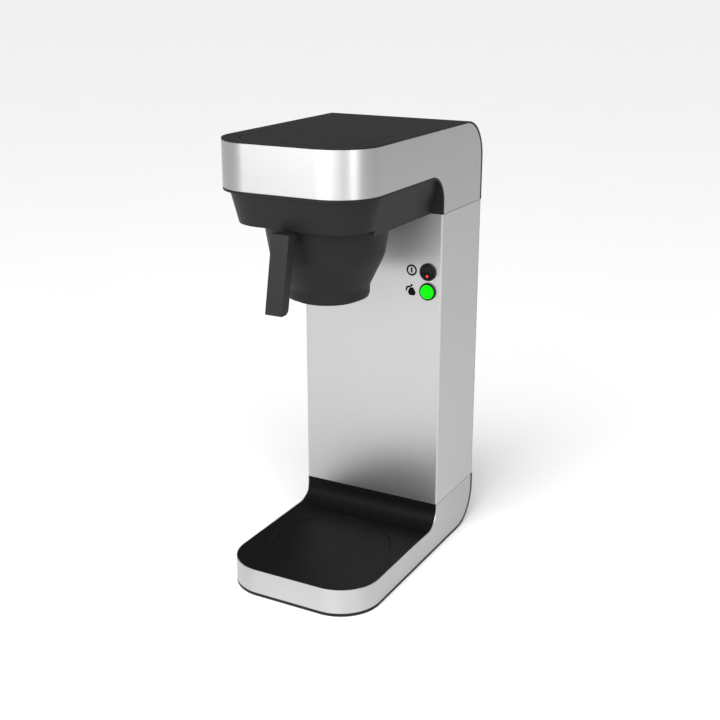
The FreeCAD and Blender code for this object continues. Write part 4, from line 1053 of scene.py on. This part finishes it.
class BREWER_OT_head_skirt(BrewerPiece, bpy.types.Operator):
    """Black underside of the head: lip, liner down to the column, and tapered skirt"""
    bl_idname = "brewer.head_skirt"
    bl_label = "Head skirt"

    def build(self, scene):
        shell = scene.brewer_shells
        skirt = scene.brewer_skirt
        lip = side_prism([
            (FRONT - PAST, BAND_BOTTOM, 0), (HEAD_CHEEK, BAND_BOTTOM, shell.notch),
            (HEAD_CHEEK, HEAD_SEAM, 0), (COLUMN_FRONT, HEAD_SEAM, 0),
            (COLUMN_FRONT, LIP_BOTTOM, shell.notch - LIP), (FRONT - PAST, LIP_BOTTOM, 0),
        ])
        keep(lip, prism(u_outline(0, BACK + PAST), 0, HEIGHT))
        low = skirt_ring(skirt.low_inset, skirt.low_front, skirt.low_corner, skirt.wall)
        high = skirt_ring(skirt.top_inset, skirt.top_inset, skirt.top_corner, skirt.wall)
        walls = lofted(low, high, HEAD_SEAM, LIP_BOTTOM + LIP / 2)
        slot_top = BASKET_TOP + skirt.slot_gap
        slot_end = FRONT + skirt.slot_length
        cut(walls, block(-HALF, HALF, FRONT - PAST, slot_end, HEAD_SEAM - PAST, slot_top))
        join(walls, lip)
        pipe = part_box("riser_tube")[1].z - skirt.pipe
        cut(walls, rod(skirt.pipe, (0, BOWL_Y, pipe), (0, HEAD_CHEEK + PAST, pipe), "Y"))
        soften(walls, shell.edge)
        finished(walls, "head_skirt_moulding", "housing", "Black moulding", "black_moulding", "head_skirt")


class BREWER_OT_column(BrewerPiece, bpy.types.Operator):
    """Folded stainless cover of the column and its vented back panel"""
    bl_idname = "brewer.column"
    bl_label = "Column"

    def build(self, scene):
        shell = scene.brewer_shells
        rear = COLUMN_HIGH.y
        lip = HALF - shell.returns
        inside = shell.fold - shell.steel
        half = HALF - shell.steel
        front = COLUMN_FRONT + shell.steel
        wrap = prism([
            (-lip, rear, 0), (-HALF, rear, shell.fold), (-HALF, COLUMN_FRONT, shell.fold),
            (HALF, COLUMN_FRONT, shell.fold), (HALF, rear, shell.fold), (lip, rear, 0),
            (lip, rear - shell.steel, 0), (half, rear - shell.steel, inside), (half, front, inside),
            (-half, front, inside), (-half, rear - shell.steel, inside), (-lip, rear - shell.steel, 0),
        ], COLUMN_LOW.z, COLUMN_HIGH.z)
        for level in (SWITCH_Z, BUTTON_Z):
            start = (CONTROL_X, COLUMN_FRONT - PAST, level)
            end = (CONTROL_X, front + PAST, level)
            cut(wrap, rod(scene.brewer_controls.barrel + HAIR, start, end, "Y"))
        soften(wrap, shell.sheet_edge)
        finished(
            wrap, "column_steel", "housing", "Stainless upright grain", "brushed_stainless", "column_wrap")
        self.back_panel(shell)

    def back_panel(self, shell):
        outline = rectangle(PANEL_LOW.x, PANEL_HIGH.x, PANEL_LOW.z, PANEL_HIGH.z)
        panel = prism(outline, PANEL_LOW.y, PANEL_HIGH.y, on_front)
        flange = 3.5 * MM
        hole = rectangle(
            INLET_LOW.x + flange, INLET_HIGH.x - flange, INLET_LOW.z + flange, INLET_HIGH.z - flange)
        cut(panel, prism(hole, PANEL_LOW.y - PAST, PANEL_HIGH.y + PAST, on_front))
        top_drop = 30.0 * MM
        middle = (PANEL_LOW.y + PANEL_HIGH.y) / 2
        vent_pattern().grown(panel, {"Top slot": (0.0, middle, HEAD_SEAM - top_drop)})
        soften(panel, shell.sheet_edge)
        finished(
            panel, "column_back_steel", "housing", "Stainless upright grain", "brushed_stainless",
            "column_back")


class BREWER_OT_base(BrewerPiece, bpy.types.Operator):
    """Base band, serving plate with the jug's ring, and the pan that turns up at the rear"""
    bl_idname = "brewer.base"
    bl_label = "Base"

    def build(self, scene):
        shell = scene.brewer_shells
        made = soften(band(base_profile()), shell.sheet_edge)
        finished(
            made, "base_band_steel", "housing", "Stainless level grain", "brushed_stainless", "base_band")
        self.plate(shell)
        self.pan(shell)

    def plate(self, shell):
        top = plate_level()
        under = top - shell.wall
        rear = COLUMN_FRONT + shell.wall
        plate = side_prism([
            (FRONT - PAST, top, 0), (COLUMN_FRONT, top, shell.cove), (COLUMN_FRONT, BASE_SEAM, 0),
            (rear, BASE_SEAM, 0), (rear, under, shell.cove + shell.wall), (FRONT - PAST, under, 0),
        ])
        keep(plate, prism(u_outline(shell.steel + HAIR, BACK + PAST), 0, HEIGHT))
        floor = top - shell.ring_depth
        rim = shell.ring + shell.ring_depth
        recess = [
            (0, floor, 0), (shell.ring, floor, 0), (rim, top, 0), (rim, top + PAST, 0), (0, top + PAST, 0),
        ]
        cut(plate, turned(recess, (0, BOWL_Y, 0)))
        soften(plate, shell.sheet_edge)
        finished(plate, "serving_plate", "housing", "Plate moulding", "black_moulding", "base_top")

    def pan(self, shell):
        low = PAN_LOW.z
        rim = low + shell.turn
        floor = FOOT_HIGH.z
        pan = side_prism([
            (FRONT - PAST, rim, 0), (FRONT - PAST, low, 0), (BACK, low, shell.pan_bend),
            (BACK, BASE_SEAM, 0), (BACK - shell.turn, BASE_SEAM, 0),
            (BACK - shell.turn, rim, shell.pan_bend - shell.turn),
        ])
        keep(pan, prism(u_outline(0, BACK + PAST), -PAST, HEIGHT))
        hollow = side_prism([
            (FRONT - 2 * PAST, rim + shell.turn, 0), (FRONT - 2 * PAST, floor, 0),
            (BACK - shell.wall, floor, shell.pan_bend - shell.wall), (BACK - shell.wall, BASE_SEAM + PAST, 0),
            (BACK - 2 * shell.turn, BASE_SEAM + PAST, 0), (BACK - 2 * shell.turn, rim + shell.turn, 0),
        ])
        keep(hollow, prism(u_outline(shell.steel + shell.wall, BACK + 2 * PAST), 0, HEIGHT))
        cut(pan, hollow, band(base_profile(), -PAST))
        for x, y in screw_rows():
            cut(pan, rod(SCREW_SEAT, (x, y, low - PAST), (x, y, low + SCREW_SEAT_DEPTH), "Z"))
        soften(pan, shell.edge)
        finished(pan, "base_pan_moulding", "housing", "Black moulding", "black_moulding", "base_pan")


def corners_of(low, high, inset):
    """The four middles of like round things whose box is known."""
    return [(x, y) for x in (low.x + inset, high.x - inset) for y in (low.y + inset, high.y - inset)]


def screw_rows():
    return corners_of(BASE_SCREWS_LOW, BASE_SCREWS_HIGH, SCREW_HEAD)


class BREWER_OT_fasteners(BrewerPiece, bpy.types.Operator):
    """Screws of the back panel and of the pan, and the feet"""
    bl_idname = "brewer.fasteners"
    bl_label = "Screws and feet"

    head: length("Head", "Radius of a screw's head", 3.4)
    head_h: length("Head height", "Height of a screw's head", 1.1)
    pad: length("Pad", "Radius of a foot", 13.0)

    def build(self, scene):
        heads = screw_pattern()
        size = {"Head radius": self.head, "Head height": self.head_h}
        low, high = BACK_SCREWS_LOW, BACK_SCREWS_HIGH
        levels = (low.z + self.head, (low.z + high.z) / 2, high.z - self.head)
        spots = [(side * (high.x - self.head), COLUMN_BACK, z) for side in (-1, 1) for z in levels]
        outwards = (math.radians(-90), 0.0, 0.0)
        made = shade(heads.grown(spots_piece(spots), {**size, "Turn": outwards}))
        finished(made, "back_screw_heads", "housing", "Bright steel", "bright_steel", "back_screws")
        level = BASE_SCREWS_LOW.z + self.head_h
        downwards = (math.radians(180), 0.0, 0.0)
        spots = [(x, y, level) for x, y in screw_rows()]
        made = shade(heads.grown(spots_piece(spots), {**size, "Turn": downwards}))
        finished(made, "base_screw_heads", "housing", "Bright steel", "bright_steel", "base_screws")
        spots = [(x, y, 0.0) for x, y in corners_of(FOOT_LOW, FOOT_HIGH, self.pad)]
        pads = {"Pad radius": self.pad, "Pad height": PAN_LOW.z, "Stem length": FOOT_HIGH.z}
        made = soften(foot_pattern().grown(spots_piece(spots), pads), SOFT_EDGE)
        finished(made, "foot_pads_rubber", "housing", "Foot rubber", "foot_rubber", "feet")


class BREWER_OT_basket(BrewerPiece, bpy.types.Operator):
    """Brew basket: flanged bowl with a ribbed floor, and its slanted handle"""
    bl_idname = "brewer.basket"
    bl_label = "Brew basket"

    def build(self, scene):
        size = scene.brewer_basket
        bowl = turned(self.rim_outline(size) + self.outside(size) + self.inside(size), (0, BOWL_Y, 0))
        flat = BOWL_HIGH.x
        keep(bowl, block(-flat, flat, BOWL_LOW.y - PAST, BOWL_HIGH.y + PAST, 0, HEIGHT))
        soften(bowl, scene.brewer_shells.edge)
        finished(bowl, "basket_bowl_moulding", "basket", "Black moulding", "black_moulding", "basket_bowl")
        floor = BOWL_LOW.z + size.foot_h
        height = size.wall / 2 + size.fall + size.rib
        middle = floor + size.wall / 2 + height / 2
        ribs = rib_pattern().grown(spots_piece([(0, BOWL_Y, middle)]), {
            "Inner end": 2 * size.outlet, "Outer end": size.neck - size.wall / 2,
            "Rib width": size.rib_w, "Rib height": height})
        shade(ribs)
        finished(ribs, "basket_floor_ribs", "basket", "Black moulding", "black_moulding")
        self.handle(scene, size)

    def rim_outline(self, size):
        return [(size.rim, BASKET_TOP, 0), (size.rim, BASKET_TOP - size.rim_t, 0)]

    def outside(self, size):
        low = BOWL_LOW.z
        step_in = 1.2 * MM
        return [
            (size.top, BASKET_TOP - size.rim_t, 0),
            (size.shoulder, BASKET_TOP - size.shoulder_drop, size.shoulder_bend),
            (size.neck, BASKET_TOP - size.neck_drop, size.neck_bend),
            (size.neck, low + 2 * size.foot_h, 0),
            (size.neck - step_in, low + size.foot_h, 0),
        ]

    def inside(self, size):
        floor = BOWL_LOW.z + size.foot_h
        wall = size.wall
        return [
            (size.foot, floor, 0), (size.foot, BOWL_LOW.z, 0),
            (size.foot - size.foot_t, BOWL_LOW.z, 0), (size.foot - size.foot_t, floor, 0),
            (size.outlet, floor, 0), (size.outlet, floor + wall, 0),
            (size.neck - wall, floor + wall + size.fall, 0),
            (size.neck - wall, BASKET_TOP - size.neck_drop + wall / 4, size.neck_bend + wall),
            (size.shoulder - wall, BASKET_TOP - size.shoulder_drop + wall / 4, size.shoulder_bend - wall),
            (size.top - wall, BASKET_TOP, 0),
        ]

    def handle(self, scene, size):
        top, low = HANDLE_HIGH.z, HANDLE_LOW.z
        front_top = FRONT + size.handle_back
        front_low = HANDLE_LOW.y
        bar = prism([
            (front_top, top, 0), (front_low, low, 0),
            (front_low + size.handle_t, low, size.handle_end), (front_top + size.handle_t, top, 0),
        ], -size.handle_w / 2, size.handle_w / 2, on_side)
        soften(bar, size.handle_edge, 4)
        flange = BASKET_TOP - size.rim_t
        reach = BOWL_Y - size.top + size.wall / 2
        half = size.arm_w / 2
        arm = block(-half, half, front_top + size.handle_t / 2, reach, flange - size.arm_h, flange)
        cut(arm, copy_of(bar))
        soften(arm, scene.brewer_shells.sheet_edge)
        finished(bar, "basket_handle_grip", "basket", "Grey moulding", "grey_moulding", "basket_handle")
        finished(arm, "basket_handle_arm", "basket", "Black moulding", "black_moulding", "basket_handle")


class BREWER_OT_controls(BrewerPiece, bpy.types.Operator):
    """Rocker switch with its red light, and the lit push button, in round bezels"""
    bl_idname = "brewer.controls"
    bl_label = "Controls"

    def build(self, scene):
        size = scene.brewer_controls
        pivot = joint_place("power_rocker_tilt")
        well = size.ball + size.ball_gap
        rocker_floor = pivot.y + size.rocker_back + size.room
        shell = self.bezel(size, SWITCH_Z, well, rocker_floor)
        finished(shell, "rocker_bezel", "housing", "Switch black", "switch_moulding", "rocker_housing")
        lens_r = LENS_HIGH.x - CONTROL_X
        shell = self.bezel(size, BUTTON_Z, lens_r + size.lens_gap, COLUMN_FRONT, size.plunger + HAIR)
        finished(shell, "button_bezel", "housing", "Switch black", "switch_moulding", "button_housing")
        self.rocker(size, pivot)
        self.button(size, lens_r)

    def bezel(self, size, level, well, floor, bore=0.0):
        """A round bezel with its barrel behind the panel."""
        face = COLUMN_FRONT - size.bezel_t
        rear = COLUMN_FRONT + size.barrel_l
        end = rear - size.bezel_t
        inner_edge, outer_edge = 0.5 * MM, 1.1 * MM
        made = turned([
            (0, end, 0), (bore, end, 0), (bore, floor, 0), (well, floor, 0), (well, face, inner_edge),
            (size.bezel, face, outer_edge), (size.bezel, COLUMN_FRONT, 0), (size.barrel, COLUMN_FRONT, 0),
            (size.barrel, rear, 0), (0, rear, 0),
        ], (CONTROL_X, 0, level), "Y")
        return soften(made, FINE_EDGE)

    def rocker(self, size, pivot):
        reach = size.ball + PAST
        rise = reach * math.tan(size.tilt)
        face = pivot.y - size.valley
        back = pivot.y + size.rocker_back
        valley_bend = 4.0 * MM
        body = prism([
            (back, SWITCH_Z - reach, 0), (back, SWITCH_Z + reach, 0), (face - rise, SWITCH_Z + reach, 0),
            (face, SWITCH_Z, valley_bend), (face - rise, SWITCH_Z - reach, 0),
        ], CONTROL_X - reach, CONTROL_X + reach, on_side)
        ball = [(0, -size.ball, 0)]
        steps = 48
        for step in range(1, steps):
            turn = math.pi * step / steps
            ball.append((size.ball * math.sin(turn), -size.ball * math.cos(turn), 0))
        ball.append((0, size.ball, 0))
        keep(body, turned(ball, (CONTROL_X, pivot.y, SWITCH_Z), "X"))
        front = face - size.neon_drop * math.tan(size.tilt) - size.neon_proud
        start = Vector((CONTROL_X, front, SWITCH_Z - size.neon_drop))
        end = start + Vector((0, size.neon_l, 0))
        cut(body, rod(size.neon + HAIR, start, end, "Y"))
        soften(body, SOFT_EDGE, 3)
        crown = 0.5 * MM
        light = turned([
            (0, 0, 0), (size.neon, 0, crown), (size.neon, size.neon_l, 0), (0, size.neon_l, 0),
        ], start, "Y")
        shade(light)
        tilt = Matrix.Translation(pivot) @ Matrix.Rotation(-size.tilt, 4, "X") @ Matrix.Translation(-pivot)
        for piece in (body, light):
            piece.data.transform(tilt)
        finished(body, "rocker_paddle", "rocker", "Switch black", "switch_moulding", "power_rocker")
        finished(light, "rocker_light", "rocker", "Red light", "red_lens", "neon_lens")

    def button(self, size, radius):
        face = LENS_LOW.y
        back = face + size.lens_t
        outline = []
        steps = 16
        for step in range(steps + 1):
            r = radius * step / steps
            outline.append((r, face + size.crown - math.sqrt(size.crown ** 2 - r ** 2), 0))
        outline += [
            (radius, back, 0), (size.plunger, back, 0), (size.plunger, LENS_HIGH.y, 0), (0, LENS_HIGH.y, 0),
        ]
        lens = soften(turned(outline, (CONTROL_X, 0, BUTTON_Z), "Y"), LENS_EDGE, 3)
        finished(lens, "button_lens", "button", "Green light", "green_lens", "brew_button")


class BREWER_OT_symbols(BrewerPiece, bpy.types.Operator):
    """Plain printed symbols beside the controls: power, and a jug"""
    bl_idname = "brewer.symbols"
    bl_label = "Symbols"

    def build(self, scene):
        size = scene.brewer_controls
        x = CONTROL_X - size.symbol_gap
        self.power(size, x, SWITCH_Z)
        jug_drop = 0.7 * MM
        self.jug(size, x, BUTTON_Z - jug_drop)

    def printed(self, piece, name):
        shade(piece)
        finished(piece, name, "housing", "Printed ink", "switch_moulding")

    def power(self, size, x, z):
        """A ring with an upright bar in it."""
        outer = 7.65 * MM
        face = COLUMN_FRONT - size.ink
        inner = outer - size.symbol_line
        behind = COLUMN_FRONT + HAIR
        ring = turned(rectangle(inner, outer, face, behind), (x, 0, z), "Y")
        bar = 3.6 * MM
        line = size.symbol_line / 2
        join(ring, prism(rectangle(x - line, x + line, z - bar, z + bar), face, behind, on_front))
        self.printed(ring, "power_symbol")

    def jug(self, size, x, z):
        """A jug with a hooked handle and a knob, as outlines in millimetres about the symbol's middle."""
        body = [
            (-3.4, -7.3, 2.5), (5.2, -7.3, 3.0), (6.4, -2.6, 2.5),
            (2.6, 3.6, 1.0), (-2.0, 3.6, 1.0), (-5.2, -2.6, 2.5),
        ]
        hook = [
            (-8.8, -1.8, 0.4), (-7.8, 4.4, 2.6), (-0.8, 6.2, 0.4),
            (-0.8, 4.0, 0.4), (-5.6, 2.4, 1.2), (-6.6, -1.8, 0.4),
        ]
        knob = rectangle(-1.3, 1.9, 4.9, 8.1, 1.5)
        face = COLUMN_FRONT - size.ink
        made = None
        for outline in (body, hook, knob):
            corners = [(x + u * MM, z + v * MM, r * MM) for u, v, r in outline]
            part = prism(corners, face, COLUMN_FRONT + HAIR, on_front)
            made = join(made, part) if made else part
        self.printed(made, "jug_symbol")


class BREWER_OT_inner_parts(BrewerPiece, bpy.types.Operator):
    """Finishes of the pieces whose shape stays as it is: rails, tank, plumbing, heater and board"""
    bl_idname = "brewer.inner_parts"
    bl_label = "Inner parts"

    dressing = {
        # The basket rails are dressed in black moulding; the black also stands in for the shade inside the
        # basket's slot, as painted shade
        "Black moulding": ("basket_rails",),
        "Bright steel": (
            "flap_pins", "spray_head", "tank_strainer", "riser_tube", "thermal_cutouts",
            "handle_screws"),
        "Natural tank": ("water_tank", "check_valve", "board_standoffs", "terminal_block"),
        "Clear silicone": ("tank_hose", "heater_hose"),
        "Cast aluminium": ("heater",),
        "Galvanised sheet": ("heater_bracket", "inner_frame", "board_bracket"),
        "Solder mask": ("control_board",),
        "Switch black": ("power_inlet", "switch_nuts"),
        "Brass contact": ("inlet_pins",),
    }

    def build(self, scene):
        for material, nodes in self.dressing.items():
            for node in nodes:
                for slot in frame["nodes"][node].material_slots:
                    slot.material = finish(material)


class BREWER_OT_stage(BrewerPiece, bpy.types.Operator):
    """Floor, soft lights and the camera"""
    bl_idname = "brewer.stage"
    bl_label = "Stage"

    def build(self, scene):
        self.floor()
        self.lights(scene)
        self.camera(scene)

    def floor(self):
        mesh = bmesh.new()
        reach = FLOOR_REACH
        spots = [(-reach, -reach), (reach, -reach), (reach, reach), (-reach, reach)]
        mesh.faces.new([mesh.verts.new((x, y, -HAIR)) for x, y in spots])
        made = new_piece(mesh, "studio_floor")
        made.data.materials.append(finish("Studio floor"))

    def lights(self, scene):
        """A dim white room that looks white past the floor's edge, a wide sun and three soft boxes."""
        scene.world = bpy.data.worlds.new("Studio")
        scene.world.use_nodes = True
        tree = scene.world.node_tree
        glow = tree.nodes["Background"]
        glow.inputs["Strength"].default_value = WORLD_LIGHT
        backdrop = tree.nodes.new("ShaderNodeBackground")
        for light in (glow, backdrop):
            light.inputs["Color"].default_value = WHITE
        seen = tree.nodes.new("ShaderNodeLightPath").outputs["Is Camera Ray"]
        either = tree.nodes.new("ShaderNodeMixShader")
        for socket, source in enumerate((seen, glow.outputs[0], backdrop.outputs[0])):
            tree.links.new(source, either.inputs[socket])
        tree.links.new(either.outputs[0], tree.nodes["World Output"].inputs["Surface"])
        sun = bpy.data.lights.new("sky", "SUN")
        sun.angle = SUN_WIDTH
        self.hang(scene, sun, SUN_POWER, *SUN_PLACE)
        for name, (size, power, place) in SOFT_BOXES.items():
            lamp = bpy.data.lights.new(name, "AREA")
            lamp.shape = "RECTANGLE"
            lamp.size, lamp.size_y = size
            self.hang(scene, lamp, power, *place)

    def hang(self, scene, lamp, power, azimuth, elevation, distance):
        """Hangs a lamp at an angle round the brewer, turned to its middle."""
        lamp.energy = power
        away = self.away(azimuth, elevation)
        holder = self.holder(scene, lamp, away * distance + Vector((0.0, 0.0, HEIGHT / 2)), away)
        holder.visible_camera = False

    def away(self, azimuth, elevation):
        """The direction from the brewer out to something seen at this azimuth and elevation."""
        turn, rise = math.radians(azimuth), math.radians(elevation)
        return Vector((math.sin(turn) * math.cos(rise), -math.cos(turn) * math.cos(rise), math.sin(rise)))

    def holder(self, scene, data, spot, away):
        made = bpy.data.objects.new(data.name, data)
        made.location = spot
        made.rotation_euler = away.to_track_quat("Z", "Y").to_euler()
        scene.collection.objects.link(made)
        return made

    def camera(self, scene):
        lens = bpy.data.cameras.new("camera")
        lens.lens = CAMERA_LENS
        scene.camera = self.holder(scene, lens, CAMERA_SPOT, self.away(*CAMERA_TURN))
        scene.view_settings.view_transform = "Standard"


OPERATORS = (
    BREWER_OT_stage, BREWER_OT_head_band, BREWER_OT_top_cap, BREWER_OT_fill_flap, BREWER_OT_head_skirt,
    BREWER_OT_column, BREWER_OT_base, BREWER_OT_fasteners, BREWER_OT_basket, BREWER_OT_controls,
    BREWER_OT_symbols, BREWER_OT_inner_parts,
)


class BREWER_PT_panel(bpy.types.Panel):
    """Lists the brewer's pieces"""
    bl_label = "Brewer"
    bl_idname = "BREWER_PT_panel"
    bl_space_type = "VIEW_3D"
    bl_region_type = "UI"
    bl_category = "Brewer"

    def draw(self, context):
        for operator in OPERATORS:
            self.layout.operator(operator.bl_idname)
        for group in GROUPS:
            sizes = getattr(context.scene, group)
            for name in sizes.bl_rna.properties.keys():
                if name not in ("rna_type", "name"):
                    self.layout.prop(sizes, name)


def register():
    for group in GROUPS.values():
        bpy.utils.register_class(group)
    for name, group in GROUPS.items():
        setattr(bpy.types.Scene, name, bpy.props.PointerProperty(type=group))
    for operator in OPERATORS:
        bpy.utils.register_class(operator)
    bpy.utils.register_class(BREWER_PT_panel)


def unregister():
    bpy.utils.unregister_class(BREWER_PT_panel)
    for operator in reversed(OPERATORS):
        bpy.utils.unregister_class(operator)
    for name, group in reversed(GROUPS.items()):
        delattr(bpy.types.Scene, name)
        bpy.utils.unregister_class(group)


def main():
    register()
    for operator in OPERATORS:
        kind, name = operator.bl_idname.split(".")
        getattr(getattr(bpy.ops, kind), name)()


if __name__ == "__main__":
    main()
